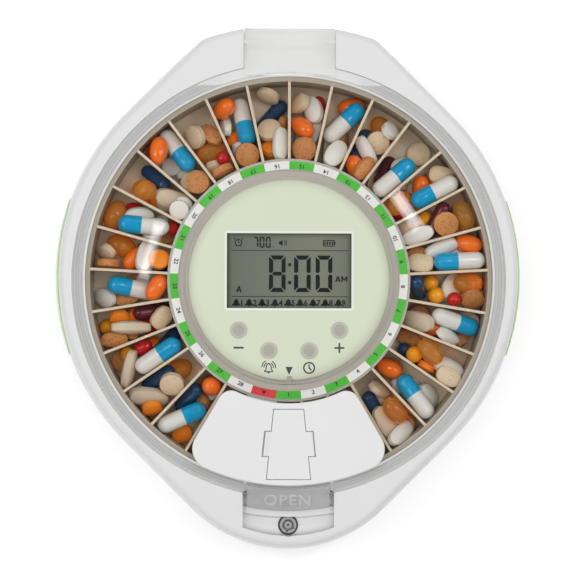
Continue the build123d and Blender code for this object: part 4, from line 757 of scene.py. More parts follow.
# ------------------------------------------------------------------ contents: capsules and tablets lying in the cells
# Each row is a settled place: x, y, z of its middle in mm and its turn as a quaternion (w, x, y, z).
PLACES = {
    "amb": [
        (44.57, -49.79, 47.6, 0.8971, -0.0783, 0.1951, -0.3886), (59.36, -25.03, 49.01, 0.9054, -0.0762, -0.0176, -0.4173), (75.45, 3.6, 43.49, 0.9984, 0.0555, 0.0087, -0.0109),
        (73.3, 32.01, 47.06, 0.8204, -0.0234, -0.1001, -0.5624), (46.17, 37.19, 45.72, 0.9116, -0.0915, 0.2236, 0.3327), (39.68, 68.31, 37.02, 0.8545, -0.1703, 0.1229, -0.475),
        (-32.44, 58.21, 40.95, 0.986, 0.117, 0.0455, 0.1094), (-60.61, 42.3, 45.02, 0.8797, -0.2008, -0.3818, -0.2002), (-73.28, 32.02, 40.44, 0.839, -0.0592, 0.0219, 0.5404),
        (-70.85, 18.99, 37.02, 0.9663, -0.1825, 0.0491, -0.1746), (-46.76, -33.67, 37.02, 0.9685, 0.1311, 0.0456, 0.2067),
    ],
    "bcl": [
        (38.42, -41.13, 40.26, 0.8038, -0.4326, 0.4068, 0.0353), (66.51, -35.31, 51.37, 0.9651, -0.0195, 0.0622, -0.2538), (75.66, -12.33, 37.24, 0.9974, 0.0078, -0.0381, -0.061),
        (56.84, -0.08, 35.18, 0.998, -0.0249, 0.0588, 0.0018), (57, 12.19, 38.18, 0.9721, -0.0004, -0.0852, 0.2184), (55.34, 11.85, 47.05, 0.9897, -0.1141, -0.0688, -0.0532),
        (50.01, 24.46, 42.14, 0.7952, 0.2745, -0.207, -0.4994), (63.93, 49.16, 42.42, 0.9901, 0.022, 0.0689, -0.1204), (37.16, 45.69, 35.37, 0.7781, -0.0442, 0.1248, 0.6141),
        (4.27, 79.28, 40.99, 0.8797, -0.1583, -0.4364, 0.1032), (-17.65, 58.17, 35.21, -0.2112, -0.0426, -0.0865, 0.9727), (-30.49, 51.44, 42.08, 0.7231, 0.4266, 0.3181, -0.4404),
        (-37.39, 43.93, 35.16, -0.287, -0.0464, 0.0627, 0.9547), (-60.35, 43.28, 36.19, -0.165, -0.1485, 0.4973, 0.8387), (-76.72, 16.27, 41.06, 0.7836, 0.274, -0.4679, 0.3033),
        (-53.21, -11.16, 45.07, 0.8819, 0.2065, 0.1464, 0.3978), (-42.26, -54.48, 35.22, 0.9241, 0.1213, 0.0262, 0.3613),
    ],
    "brl": [
        (50.95, -19.75, 35.12, 0.98, 0.0148, -0.008, -0.1981), (73.28, -19.18, 36.59, 0.8392, -0.1938, 0.2675, 0.432), (31.21, 51.35, 51.15, 0.875, 0.2346, 0.1747, 0.3857),
        (-3.23, 69.04, 36.73, 0.4605, 0.606, 0.2627, 0.593), (-34.88, 61.82, 35.13, -0.3788, -0.0415, 0.0604, 0.9226), (-32.77, 65.53, 43.62, 0.8941, -0.1733, -0.1746, -0.3742),
        (-68.12, -2.93, 38.48, 0.9889, -0.0749, 0.0035, 0.1285), (-68.36, -16.87, 39.68, 0.9716, -0.1162, -0.0396, -0.2023), (-73.11, -20.21, 43.1, 0.9921, 0.1125, -0.0095, 0.0543),
    ],
    "brn": [
        (48.82, -56.05, 38.55, 0.9802, 0.1235, -0.1521, 0.03), (44.14, -32.98, 34.73, 0.9805, 0.0063, -0.0267, -0.1947), (55.4, -10.1, 36.18, 0.9717, 0.2295, 0.0082, 0.0555),
        (77.47, -3.16, 44.79, 0.9084, 0.4138, 0.0493, 0.0331), (54.55, 13.99, 42.22, 0.9923, -0.0248, -0.0879, -0.0833), (65.48, 28.3, 50.55, 0.9818, 0.1017, 0.0018, 0.1605),
        (48.18, 38.11, 35.88, 0.9814, 0.1576, -0.1039, 0.0363), (22.62, 62.52, 37.51, 0.7283, 0.3697, 0.4553, 0.3545), (6.56, 59.52, 47.61, 0.9952, 0.0366, -0.088, -0.0211),
        (-6.01, 57.04, 37.49, 0.6593, 0.7493, -0.0398, 0.0485), (-17.53, 57.01, 48.41, 0.9609, 0.0938, 0.0448, 0.2567), (-27.73, 49.92, 48.79, 0.7476, 0.6129, 0.1119, 0.2301),
        (-38.14, 45.32, 48.89, 0.9988, -0.0438, -0.0191, -0.006), (-52.25, 24.89, 34.77, 0.9973, -0.0501, -0.0149, -0.052), (-76.16, 11.35, 42.95, 0.7428, 0.6682, -0.0403, 0.0156),
        (-65.55, 2.04, 34.77, 0.9986, 0.0509, -0.0113, -0.0024), (-69.93, -29.49, 34.74, 0.9991, -0.013, 0.0297, 0.0265), (-59.25, -50.11, 37.52, 0.6461, 0.6551, -0.2541, -0.298),
        (-37.88, -47.14, 39.5, 0.9534, 0.0732, -0.2512, 0.1504),
    ],
    "btb": [
        (73.18, 17.41, 34.83, 0.9934, -0.0218, -0.0111, 0.1118), (55.27, 58.62, 34.85, 0.998, 0.0161, -0.0371, 0.0492), (31.18, 55.63, 34.87, 0.5149, -0.0316, 0.0447, 0.8555),
        (37.41, 62.7, 42.52, 0.9349, 0.1154, 0.0174, 0.3353), (-8.92, 82.59, 39.96, 0.8169, 0.523, -0.2408, 0.0336), (-8.2, 67.85, 42.47, 0.9685, -0.2449, -0.0423, 0.0137),
        (-39.49, 64.77, 43.29, 0.8343, 0.289, -0.2918, -0.3678), (-40.19, 45.8, 44.37, 0.9918, -0.0979, -0.0759, -0.0325), (-51.35, 37.81, 40.28, -0.2807, 0.3277, 0.0848, 0.8981),
        (-55.59, -11.71, 34.83, 0.781, -0.0207, -0.0093, -0.6241), (-68.45, -16.89, 34.86, 0.6564, -0.0518, 0.0033, -0.7526), (-48.72, -38.94, 46.9, 0.9577, 0.2755, -0.0386, 0.0736),
    ],
    "cap": [
        (53.24, -44.07, 45.52, 0.4495, -0.0744, 0.0376, 0.8894), (69.9, -12.58, 45.45, 0.9714, 0.0757, 0.145, -0.1721), (71.39, 12.78, 48.92, -0.0289, 0.0299, 0.0606, 0.9973),
        (61.03, 41.83, 47.38, -0.2412, 0.0152, -0.0034, 0.9704), (43.97, 47.62, 47.15, 0.9367, -0.0511, 0.0223, 0.3457), (23.04, 70.76, 43.98, 0.926, -0.0254, 0.0078, 0.3765),
        (-19.21, 71.31, 42.87, 0.7724, -0.0748, -0.1412, -0.6147), (-46.88, 58.9, 44.72, 0.8861, -0.0467, -0.1534, -0.4348), (-60.73, 27.27, 47.45, 0.0422, 0.0181, 0.024, 0.9987),
        (-65.4, 1.04, 43.64, 0.1051, 0.083, -0.0153, 0.9909), (-54.46, -27.11, 49.18, 0.9548, -0.0382, -0.0444, 0.2915), (-44.46, -52.96, 46.96, 0.9786, -0.0176, 0.0275, 0.2031),
    ],
    "dbl": [
        (36.55, -49.13, 38.85, 0.8539, 0.1143, 0.1355, -0.4894), (53.3, -27.17, 37.08, 0.9438, 0.0981, 0.1108, -0.2955), (54.47, 1.43, 45.69, 0.5471, 0.3477, -0.3854, 0.6567),
        (69.31, 30.38, 40.86, 0.8463, -0.116, 0.276, 0.4406), (30.51, 61.72, 38.92, 0.8287, -0.0703, 0.2026, 0.517), (-7.14, 74.52, 35.72, 0.9074, -0.1258, -0.0551, 0.3973),
        (-56.16, 47.39, 41.23, 0.9097, -0.0078, -0.2784, -0.3081), (-57.54, 14.41, 35.72, 0.348, 0.0041, 0.0112, 0.9374), (-51.65, -22.45, 41.01, 0.902, 0.1043, 0.1857, 0.3755),
        (-54.45, -36.85, 42.26, 0.9311, 0.1491, -0.134, 0.3048), (-41.77, -44.93, 43.55, 0.8602, 0.249, -0.1578, 0.4161),
    ],
    "mar": [
        (62.17, 30.22, 46.12, 0.8583, 0.0625, -0.0587, 0.5059), (40.73, 50.75, 38.45, 0.8323, -0.0353, 0.2954, 0.4678), (-57.61, -8.66, 41.66, 0.9735, 0.0074, 0.2163, 0.0738),
    ],
    "osg": [
        (42.62, -32.26, 40.71, 0.9464, -0.158, -0.1469, -0.2403), (59.69, -14.47, 41.43, 0.9483, -0.0356, -0.2464, -0.1967), (75.47, 20.2, 44.65, 0.9786, -0.0589, -0.1478, -0.1304),
        (62.43, 46.18, 36.56, 0.9601, -0.0662, -0.0446, -0.2679), (55.94, 43.56, 40.78, 0.6733, 0.0419, -0.3632, 0.6426), (28.23, 51.72, 45.41, 0.8202, 0.2062, 0.1055, -0.5232),
        (26.56, 78.09, 36.52, 0.9794, -0.1931, 0.0011, 0.0586), (5.61, 68.84, 44.44, 0.9125, -0.0879, -0.2309, -0.326), (-21.66, 65.15, 37.49, 0.7668, -0.4484, 0.1536, 0.4328),
        (-27.37, 76.49, 44.48, 0.8639, 0.0441, -0.444, 0.2338), (-55.51, 60.38, 36.54, 0.9038, 0.0304, 0.0654, 0.4219), (-54.52, 58.59, 48.94, 0.6741, -0.2776, -0.1211, 0.6736),
        (-64.59, 13.66, 41.75, 0.9352, -0.0356, 0.0331, 0.3506), (-55.23, 1.29, 49.46, 0.8776, -0.0771, -0.0082, 0.4731), (-58.72, -24.08, 36.56, 0.9487, -0.0271, 0.0584, 0.3095),
        (-32.05, -39.82, 47.3, 0.7479, -0.2124, 0.6191, 0.1103),
    ],
    "otb": [
        (58.35, -31.69, 42.56, 0.685, 0.6764, -0.1249, -0.2401), (55.9, 26.62, 34.86, 0.9863, 0.0204, -0.0611, 0.1517), (53.71, 24.27, 38.59, 0.7628, -0.0668, -0.1495, 0.6256),
        (66.19, 29.17, 36.66, 0.0869, 0.3677, 0.1733, 0.9095), (-7.44, 60.05, 43.37, 0.9219, -0.379, 0.0399, 0.0692), (-37.66, 66.17, 36.86, 0.6577, 0.0656, -0.5569, -0.503),
        (-69.64, 28.69, 34.86, 0.9966, -0.0511, -0.0406, 0.0494), (-53.97, 12.95, 50.92, 0.9818, -0.1692, 0.0584, -0.0629), (-64.35, -10.86, 38.83, 0.9468, 0.0732, 0.3131, -0.0135),
        (-70.96, -11.43, 43.9, 0.8839, 0.45, 0.0968, -0.0826), (-57.09, -49.2, 46.18, 0.5847, 0.4017, -0.2508, 0.6586), (-33, -39.82, 34.86, 0.9875, 0.0489, -0.0414, 0.1439),
        (-44.88, -59.89, 37.99, 0.9808, 0.1916, 0.0347, 0.0115),
    ],
    "rdo": [
        (46.34, 33.48, 39.1, 0.9853, -0.1456, -0.0844, 0.0296), (12.5, 78.5, 35.74, 0.6832, 0.0283, -0.1201, -0.7197), (-65.24, 34.55, 35.75, 0.9819, 0.1584, 0.0619, -0.0832),
        (-49.02, 26.33, 40.82, 0.7161, 0.0169, -0.6972, 0.0296), (-58.37, -14.81, 39.88, 0.9685, 0.1522, 0.0565, 0.1887), (-61.26, -23.86, 43.36, 0.9736, -0.0379, -0.1265, 0.1861),
    ],
    "red": [
        (44.19, -50.07, 35.72, 0.912, 0.1781, 0.3541, -0.106), (69.49, -3.18, 45.12, 0.9345, -0.3206, -0.062, -0.1416), (-27.63, 55.49, 47.89, 0.9911, 0.0837, -0.0862, -0.0579),
    ],
    "tnl": [
        (41.55, -55.91, 42.46, 0.8666, -0.1037, 0.1652, -0.4593), (54.18, -12.33, 45.74, 0.8985, 0.1177, -0.4207, -0.0429), (17.29, 60.56, 36.57, 0.5663, 0.4529, 0.4223, 0.5439),
        (-48.18, 38.11, 44.94, 0.9546, 0.1412, 0.2054, -0.1631), (-65.93, -15.43, 46.48, 0.7398, 0.6697, 0.047, -0.0452), (-66.79, -32.88, 45.24, 0.5449, 0.5614, 0.3449, 0.5187),
        (-58.6, -44.44, 44.26, 0.915, 0.3271, 0.1866, -0.1449),
    ],
    "wcl": [
        (47.03, -59.43, 45.67, 0.8953, -0.0778, 0.3052, 0.315), (66.95, -18.58, 45.75, 0.8285, -0.358, 0.4291, 0.0349), (68.62, -2.8, 35.12, 0.1191, -0.0066, -0.0291, 0.9924),
        (63.95, 18.13, 46.2, 0.9029, 0.3812, 0.0671, 0.1869), (54.09, 23.55, 48.47, 0.9662, 0.0777, -0.1681, 0.1793), (32.36, 58.66, 46.15, 0.7557, 0.4015, -0.2578, -0.4486),
        (6.27, 66.09, 35.16, 0.8076, 0.0563, 0.0678, 0.5831), (9.88, 67.58, 39.39, 0.8025, -0.0946, 0.0269, 0.5885), (-3.65, 61.7, 48.17, 0.7121, 0.1162, 0.294, 0.6269),
        (-26.7, 69.95, 39.01, 0.7411, 0.151, -0.6329, -0.1654), (-39.08, 44.88, 39.86, 0.048, -0.1225, 0.0941, 0.9868), (-56.23, 26.45, 40.22, 0.8565, -0.2561, 0.1797, 0.4106),
        (-60.39, 14.41, 47.72, 0.7517, -0.0593, 0.3104, 0.5788), (-57.52, -41.93, 35.17, 0.9926, 0.1124, -0.0158, -0.0425),
    ],
    "wov": [
        (49.65, -39.47, 36.66, 0.9668, 0.1498, 0.1904, -0.0817), (59.19, -43.66, 37.88, 0.884, -0.0808, 0.4146, -0.2003), (67.1, -31.87, 45.66, 0.9104, -0.3372, 0.0282, -0.2382),
        (68.88, 1.85, 38.87, 0.8201, -0.0427, 0.2562, 0.5099), (70.42, 15.76, 40.62, 0.9445, -0.1381, 0.18, 0.2376), (47.64, 52.66, 38.62, 0.8917, 0.1315, 0.4292, 0.0574),
        (19.29, 57.47, 48.54, 0.8759, -0.0557, 0.1999, 0.4357), (10.27, 76.49, 41.8, 0.7969, 0.0593, -0.3852, -0.4615), (-20.28, 57.1, 41.96, 0.5616, 0.5537, -0.0842, -0.609),
        (-47.69, 53.8, 35.26, 0.969, 0.0256, 0.0416, 0.242), (-62.9, 31.2, 42.18, 0.9762, 0.2141, 0.0264, 0.0201), (-77.53, -3.01, 37.73, 0.9054, 0.089, -0.4141, -0.0283),
    ],
    "wtb": [
        (50.37, -56.05, 34.56, 0.8574, 0.0597, -0.0138, -0.5109), (36.9, -44.98, 34.56, 0.9981, 0.0605, 0.0023, 0.0101), (77.69, -3.86, 36.44, 0.8781, -0.256, 0.3891, 0.1097),
        (60.23, 14.19, 34.56, 0.9815, 0.0261, -0.0544, 0.1814), (62.12, 26.3, 36.4, 0.6683, 0.2258, 0.3892, 0.5924), (54.48, 43.48, 34.56, 0.9806, 0.0578, -0.0155, 0.1864),
        (42.57, 67.72, 43.81, 0.902, -0.3049, 0.283, -0.1159), (-43.64, 49.3, 36.42, 0.1284, -0.3767, 0.6464, 0.651), (-44.42, 35.95, 48.21, 0.9718, 0.1918, 0.0847, 0.108),
        (-45.77, 33.77, 51.61, 0.9897, 0.1426, -0.0066, 0.0071), (-38.68, -45.88, 34.56, 0.8271, 0.0604, -0.0053, -0.5588), (-33.19, -42.17, 38.61, 0.9789, 0.1351, -0.1117, -0.1051),
    ],
    "yel": [
        (52.89, -26.44, 44.14, 0.9424, -0.1436, 0.2712, 0.1333), (64.68, -16.43, 36.12, 0.9786, 0.0489, -0.1948, -0.0446), (79.17, 3.42, 36.12, 0.3809, -0.1957, 0.4889, 0.7601),
        (59.86, 3.67, 39.72, 0.973, -0.1177, 0.1969, 0.0263), (62.07, -1.55, 43.85, 0.9171, -0.2063, -0.3404, -0.0225), (66.94, 12.2, 36.46, 0.5087, -0.045, 0.4779, 0.7147),
        (57.71, 30.49, 40.48, 0.998, -0.0565, 0.0279, -0.0004), (-55.86, 38.72, 36.11, 0.6378, 0.3563, -0.0815, -0.678), (-76.63, -15.49, 36.12, 0.8062, -0.5391, 0.2218, 0.1008),
        (-67.6, -26.81, 39.78, 0.9203, 0.3455, -0.0062, 0.1834),
    ],
}


class Lump:
    """Faces of one pill in its own frame, later turned and moved to its place."""

    def __init__(self):
        self.v, self.f, self.m = [], [], []

    def rings(self, rows, mats, close_low=True, close_high=True):
        """rows: lists of points, all of one length; mats: material index of each band between two rows."""
        k = len(self.v)
        n = len(rows[0])
        for row in rows:
            self.v += row
        for j in range(len(rows) - 1):
            for i in range(n):
                a, b = k + j * n + i, k + j * n + (i + 1) % n
                self.f.append([a, b, b + n, a + n])
                self.m.append(mats[j])
        if close_low:
            self.f.append([k + i for i in range(n)][::-1])
            self.m.append(mats[0])
        if close_high:
            self.f.append([k + (len(rows) - 1) * n + i for i in range(n)])
            self.m.append(mats[-1])


def turned(profile, mats, n=28):
    """A body of revolution about x from (x, radius) points."""
    l = Lump()
    rows = [[(x, r * math.cos(2 * PI * i / n), r * math.sin(2 * PI * i / n)) for i in range(n)] for x, r in profile]
    l.rings(rows, mats)
    return l


def hard_capsule(length=21.7, r_cap=3.83, r_body=3.66, split=0.9):
    """Two-piece capsule: the wider coloured cap slides over the body; the body's end is at -x."""
    h = length / 2
    pts, mats = [], []
    for i in range(0, 10):                       # body end
        a = PI / 2 * i / 9
        pts.append((-h + r_body * (1 - math.cos(a)) * 1.02, max(0.05, r_body * math.sin(a))))
        mats.append(0)
    pts.append((split - 0.02, r_body))
    mats.append(1)                               # the cap's cut edge
    pts.append((split, r_body + 0.07))
    mats.append(1)
    pts.append((split + 0.07, r_cap))
    mats.append(1)
    pts.append((split + 2.6, r_cap))
    mats.append(1)
    pts.append((split + 2.85, r_cap - 0.05))     # shallow locking groove
    mats.append(1)
    pts.append((split + 3.1, r_cap))
    mats.append(1)
    for i in range(0, 10):
        a = PI / 2 * i / 9
        pts.append((h - r_cap * (1 - math.sin(a)) if i < 9 else h, max(0.05, r_cap * math.cos(a))))
        mats.append(1)
    # the dome of the cap
    n0 = len(pts) - 10
    for i in range(10):
        a = PI / 2 * i / 9
        pts[n0 + i] = (h - r_cap + r_cap * math.sin(a), max(0.05, r_cap * math.cos(a)))
    return turned(pts, mats[:len(pts) - 1])


def softgel(a, b, e=2.15, mat=0):
    """Smooth oval softgel, a little fuller than an ellipsoid."""
    pts = []
    n = 20
    for i in range(n + 1):
        t = -PI / 2 + PI * i / n
        x = a * math.copysign(abs(math.sin(t)) ** (2 / e), math.sin(t))
        r = b * abs(math.cos(t)) ** (2 / e)
        pts.append((x, max(0.04, r)))
    return turned(pts, [mat] * n, n=30)


def tablet(hx, hy, band, dome, e=2.0, mat=0, n=40, score=False):
    """Pressed tablet: an outline of half sizes hx, hy, an upright band and two domed faces with a small bevel."""
    def ring(k, z):
        pts = []
        for i in range(n):
            t = 2 * PI * i / n
            c, s = math.cos(t), math.sin(t)
            pts.append((k * hx * math.copysign(abs(c) ** (2 / e), c), k * hy * math.copysign(abs(s) ** (2 / e), s), z))
        return pts
    steps = (0.04, 0.3, 0.55, 0.75, 0.88, 0.955)
    rows = [ring(k, -band - dome * (1 - k * k) ** 0.85) for k in steps]
    rows += [ring(0.992, -band - dome * 0.045), ring(1.0, -band), ring(1.0, band), ring(0.992, band + dome * 0.045)]
    rows += [ring(k, band + dome * (1 - k * k) ** 0.85) for k in reversed(steps)]
    l = Lump()
    l.rings(rows, [mat] * (len(rows) - 1))
    return l


def place_all(shape, lump, rows, jitter=0.0, rng=None):
    for x, y, z, qw, qx, qy, qz in rows:
        m = Quaternion((qw, qx, qy, qz)).to_matrix()
        k = 1.0 + (rng.uniform(-jitter, jitter) if rng else 0.0)
        pts = [m @ Vector((px * k, py * k, pz * k)) for px, py, pz in lump.v]
        base = len(shape.v)
        shape.v += [(x + p.x, y + p.y, z + p.z) for p in pts]
        for face, mat in zip(lump.f, lump.m):
            shape.f.append([base + i for i in face])
            shape.m.append(mat)
            shape.smooth.append(True)


def soften(obj, degrees=38.0):
    obj.data.set_sharp_from_angle(angle=math.radians(degrees))
    return obj


def shell(name, rgb, rough=0.2, vary=0.05, sss=0.08, coat=0.5):
    """Glossy gelatine or coated surface with a faint unevenness from pill to pill."""
    t = Tree(name)
    base = lin(*rgb)
    col = t.ramp(t.noise(55.0, 1.0, 0.4), [(0.35, scaled(base, 1 - vary)), (0.65, scaled(base, 1 + vary))])
    r = t.range(t.noise(420.0, 3.0, 0.6), 0.3, 0.7, rough - 0.04, rough + 0.06)
    p = t.principled(col, rough=r, bump=t.noise(700.0, 2.0), bump_strength=0.05, bump_mm=0.02,
                     Subsurface_Weight=sss, Subsurface_Scale=0.0015, Coat_Weight=coat, Coat_Roughness=0.06)
    return t.finish(p.outputs["BSDF"])


def pressed(name, rgb, speck=None, vary=0.06, rough=0.55, spots=1500.0, amount=(0.60, 0.68), sheen=0.0):
    """Pressed powder: fine grain, with flecks of another colour."""
    t = Tree(name)
    base = lin(*rgb)
    col = t.ramp(t.noise(60.0, 2.0, 0.5), [(0.35, scaled(base, 1 - vary)), (0.65, scaled(base, 1 + vary * 0.7))])
    if speck:
        f = t.range(t.noise(spots, 2.0, 0.7), amount[0], amount[1], 0.0, 0.85)
        col = t.mix(f, col, (*lin(*speck), 1))
    grain = t.noise(1700.0, 3.0, 0.7)
    r = t.range(grain, 0.3, 0.7, rough - 0.08, rough + 0.1)
    p = t.principled(col, rough=r, bump=grain, bump_strength=0.28, bump_mm=0.05, Specular_IOR_Level=0.35,
                     Subsurface_Weight=0.06, Subsurface_Scale=0.001)
    return t.finish(p.outputs["BSDF"])


def gel(name, rgb, depth_mm, rough=0.05):
    """Clear softgel filled with oil, tinted by its colour; depth_mm is not used."""
    t = Tree(name)
    base = lin(*rgb)
    col = t.ramp(t.noise(50.0, 1.0, 0.4), [(0.35, scaled(base, 0.92)), (0.65, scaled(base, 1.0))])
    r = t.range(t.noise(300.0, 2.0, 0.5), 0.3, 0.7, rough, rough + 0.05)
    p = t.principled(col, rough=r, Transmission_Weight=0.78, IOR=1.36, Coat_Weight=0.4, Coat_Roughness=0.04)
    through = t.node("ShaderNodeBsdfTransparent")
    through.inputs["Color"].default_value = (*scaled(base, 0.9), 1)
    path = t.node("ShaderNodeLightPath")
    m = t.node("ShaderNodeMixShader")
    t.link(t.math("MAXIMUM", path.outputs["Is Shadow Ray"], path.outputs["Is Diffuse Ray"]), m.inputs[0])
    t.link(p.outputs["BSDF"], m.inputs[1])
    t.link(through.outputs["BSDF"], m.inputs[2])
    return t.finish(m.outputs["Shader"])


cap_blue = shell("capsule_blue", (0, 158, 208), rough=0.16, vary=0.03, coat=0.5)
cap_white = shell("capsule_white", (226, 224, 219), rough=0.22, vary=0.02, coat=0.4)
cap_navy = shell("capsule_navy", (22, 62, 98), rough=0.2, vary=0.08)
cap_maroon = shell("capsule_maroon", (88, 24, 38), rough=0.2, vary=0.08)
gel_orange = shell("softgel_orange", (250, 118, 28), rough=0.16, vary=0.06, sss=0.15, coat=0.6)
gel_red = shell("softgel_red", (196, 26, 28), rough=0.14, vary=0.08, coat=0.6)
gel_yellow = shell("softgel_yellow", (248, 166, 26), rough=0.14, vary=0.04, sss=0.2, coat=0.6)
gel_amber = gel("softgel_amber", (255, 196, 92), 9.0)
tab_white = pressed("tablet_white", (232, 229, 222), rough=0.42, vary=0.02)
tab_beige = pressed("tablet_beige", (222, 201, 170), (176, 132, 92), rough=0.5, vary=0.05)
tab_cream = pressed("tablet_cream", (214, 196, 174), (184, 156, 128), rough=0.5, vary=0.06, amount=(0.62, 0.74))
tab_orange = pressed("tablet_orange", (244, 142, 38), (224, 106, 22), rough=0.4, vary=0.05)
tab_brown = pressed("tablet_brown", (204, 140, 84), (148, 92, 50), rough=0.5, vary=0.10, spots=900.0, amount=(0.5, 0.72))

rng = random.Random(28)
caps = Shape()
place_all(caps, hard_capsule(), PLACES.get("cap", []))
soften(caps.make("contents_capsules", [cap_white, cap_blue], "tray"))
dark = Shape()
small = hard_capsule(16.4, 3.1, 2.95, 0.6)
place_all(dark, small, PLACES.get("dbl", []))
cut = len(dark.m)
place_all(dark, small, PLACES.get("mar", []))
dark.m = [0] * cut + [1] * (len(dark.m) - cut)
soften(dark.make("contents_dark_capsules", [cap_navy, cap_maroon], "tray"))
gels = Shape()
place_all(gels, softgel(6.1, 3.9, mat=0), PLACES.get("osg", []), 0.03, rng)
place_all(gels, softgel(4.4, 3.1, mat=1), PLACES.get("rdo", []), 0.04, rng)
place_all(gels, softgel(3.1, 3.1, 2.0, mat=1), PLACES.get("red", []), 0.04, rng)
place_all(gels, softgel(3.5, 3.5, 2.0, mat=2), PLACES.get("yel", []), 0.04, rng)
soften(gels.make("contents_softgels", [gel_orange, gel_red, gel_yellow], "tray"))
amber = Shape()
place_all(amber, softgel(6.4, 4.4), PLACES.get("amb", []), 0.02, rng)
soften(amber.make("contents_amber_softgels", [gel_amber], "tray"))
white = Shape()
place_all(white, tablet(7.0, 3.3, 1.2, 1.3, 2.6), PLACES.get("wcl", []), 0.02, rng)
place_all(white, tablet(6.4, 4.1, 1.1, 1.5, 2.2), PLACES.get("wov", []), 0.03, rng)
place_all(white, tablet(3.9, 3.9, 1.1, 0.8, 2.0), PLACES.get("wtb", []), 0.03, rng)
soften(white.make("contents_white_tablets", [tab_white], "tray"), 34)
beige = Shape()
place_all(beige, tablet(5.0, 5.0, 1.2, 1.0, 2.0, mat=0), PLACES.get("btb", []), 0.02, rng)
place_all(beige, tablet(5.2, 3.8, 1.2, 1.3, 2.6, mat=0), PLACES.get("bcl", []), 0.03, rng)
place_all(beige, tablet(8.4, 4.0, 1.4, 1.5, 2.7, mat=1), PLACES.get("tnl", []), 0.02, rng)
soften(beige.make("contents_beige_tablets", [tab_beige, tab_cream], "tray"), 34)
brown = Shape()
place_all(brown, tablet(5.0, 5.0, 1.3, 0.8, 2.0, mat=0), PLACES.get("brn", []), 0.03, rng)
place_all(brown, tablet(5.6, 3.1, 1.2, 1.3, 2.4, mat=0), PLACES.get("brl", []), 0.03, rng)
place_all(brown, tablet(4.2, 4.2, 1.1, 1.1, 2.0, mat=1), PLACES.get("otb", []), 0.03, rng)
soften(brown.make("contents_brown_tablets", [tab_brown, tab_orange], "tray"), 34)


# ------------------------------------------------------------------ raised word on the latch tab
word = Shape()
put_text(word, "OPEN", 6.1, -0.55, CY - 90.75, 58.08, thick=0.5, bold=0.12, sx=1.16, spacing=1.12, res=4)
word.make("latch_word", [letter_clear], "latch_tab")

# ------------------------------------------------------------------ floor, light and camera
floor_t = Tree("floor")
fn = floor_t.noise(3.0, 2.0, 0.5)
floor_col = floor_t.ramp(fn, [(0.3, (0.93, 0.93, 0.93)), (0.7, (0.94, 0.94, 0.94))])
floor_p = floor_t.principled(floor_col, rough_value=0.9, Specular_IOR_Level=0.1, Emission_Strength=0.19)
floor_m = floor_t.finish(floor_p.outputs["BSDF"])
bm = bmesh.new()
bmesh.ops.create_grid(bm, x_segments=8, y_segments=8, size=3.0)
me = bpy.data.meshes.new("floor")
bm.to_mesh(me)
bm.free()
me.materials.append(floor_m)
floor = bpy.data.objects.new("floor", me)
bpy.context.scene.collection.objects.link(floor)
floor.location.z = -0.0002


def area(name, place, aim, size, watts, colour=(1, 1, 1), size_y=None, spread=180.0):
    d = bpy.data.lights.new(name, "AREA")
    d.shape = "RECTANGLE"
    d.size = size
    d.size_y = size_y or size
    d.energy = watts
    d.color = colour
    d.spread = math.radians(spread)
    o = bpy.data.objects.new(name, d)
    o.location = place
    o.rotation_euler = (Vector(aim) - Vector(place)).to_track_quat("-Z", "Y").to_euler()
    bpy.context.scene.collection.objects.link(o)
    return o


area("key_left", (-0.85, 0.05, 1.0), (0, 0, 0.03), 0.55, 2.7, size_y=0.9)
area("key_right", (0.85, 0.15, 1.0), (0, 0, 0.03), 0.55, 2.7, size_y=0.9)
area("back", (0.0, 1.1, 0.9), (0, 0, 0.03), 1.2, 1.5, size_y=0.5)
area("front", (0.0, -1.2, 0.9), (0, 0, 0.03), 1.2, 1.0, size_y=0.5)
area("fill_left", (-0.8, -0.8, 0.6), (0, 0, 0.03), 0.6, 1.1)
over = area("overhead", (0.0, 0.05, 1.5), (0, 0, 0.03), 0.9, 8.6)
over.visible_glossy = False
over.visible_transmission = False
area("spark_left", (-0.42, 0.22, 1.15), (0, 0, 0.03), 0.06, 1.2)
area("spark_right", (0.40, 0.26, 1.15), (0, 0, 0.03), 0.06, 1.2)


def glint(name, x, y, w, h, turn, radiance):
    """A small panel that mirrors as a soft streak in the flat lid, centred on (x, y) mm there."""
    k = 1200.0 / 804.0
    place = ((x + (x + 10.2) * k) * MM, (y + (y + 8.8) * k) * MM, (58.4 + 1200.0) * MM)
    for i, grow in enumerate((1.0, 0.72, 0.45)):
        sx, sy = w * (1 + k) * MM * grow, h * (1 + k) * MM * (0.6 + 0.4 * grow)
        o = area(f"{name}_{i}", (place[0], place[1], place[2] - 0.002 * i), (place[0], place[1], 0.0), sx, radiance * PI * sx * sy, size_y=sy)
        o.rotation_euler = (0, 0, math.radians(turn))


glint("glint_right", 48.5, 33.5, 6.0, 19.0, 35, 2.6)
glint("glint_left", -57.0, 16.0, 5.0, 26.0, -16, 1.8)

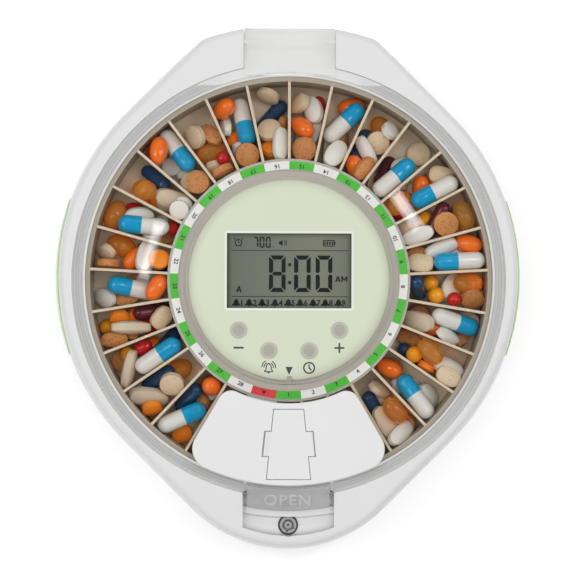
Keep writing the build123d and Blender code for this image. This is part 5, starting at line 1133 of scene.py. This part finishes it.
world = bpy.data.worlds.new("studio")
world.use_nodes = True
wt = world.node_tree
wt.nodes.clear()
wo = wt.nodes.new("ShaderNodeOutputWorld")
bg = wt.nodes.new("ShaderNodeBackground")
tc = wt.nodes.new("ShaderNodeTexCoord")
sx = wt.nodes.new("ShaderNodeSeparateXYZ")
wr = wt.nodes.new("ShaderNodeValToRGB")
wt.links.new(tc.outputs["Generated"], sx.inputs[0])
wt.links.new(sx.outputs["Z"], wr.inputs["Fac"])
e = wr.color_ramp.elements
e[0].position, e[0].color = 0.0, (0.95, 0.95, 0.95, 1)
e[1].position, e[1].color = 1.0, (0.06, 0.06, 0.06, 1)
m1 = e.new(0.80)
m1.color = (0.95, 0.95, 0.95, 1)
m2 = e.new(0.93)
m2.color = (0.30, 0.30, 0.30, 1)
wt.links.new(wr.outputs["Color"], bg.inputs["Color"])
bg.inputs["Strength"].default_value = 0.285
wt.links.new(bg.outputs[0], wo.inputs["Surface"])
scene = bpy.context.scene
scene.world = world

CAM = Vector((-10.221, -8.825, 862.79)) * MM
AIM = Vector((-0.116, 1.503, 33.0)) * MM
ROLL = 0.003
d = (AIM - CAM).normalized()
r = d.cross(Vector((0, 1, 0))).normalized()
u = r.cross(d)
cr, sr = math.cos(ROLL), math.sin(ROLL)
r, u = cr * r + sr * u, -sr * r + cr * u
cam_data = bpy.data.cameras.new("camera")
cam_data.sensor_width = 36.0
cam_data.sensor_fit = "HORIZONTAL"
cam_data.lens = 1947.161 * 36.0 / 576.0
cam_data.clip_start = 0.01
cam_data.clip_end = 20.0
cam = bpy.data.objects.new("camera", cam_data)
cam.matrix_world = Matrix(((r.x, u.x, -d.x, CAM.x), (r.y, u.y, -d.y, CAM.y), (r.z, u.z, -d.z, CAM.z), (0, 0, 0, 1)))
scene.collection.objects.link(cam)
scene.camera = cam

scene.view_settings.view_transform = "Standard"
scene.view_settings.look = "None"
scene.view_settings.exposure = 0.0
scene.cycles.max_bounces = 10
scene.cycles.diffuse_bounces = 4
scene.cycles.glossy_bounces = 5
scene.cycles.transmission_bounces = 10
scene.cycles.transparent_max_bounces = 24
scene.cycles.caustics_reflective = False
scene.cycles.caustics_refractive = False
scene.cycles.use_denoising = True

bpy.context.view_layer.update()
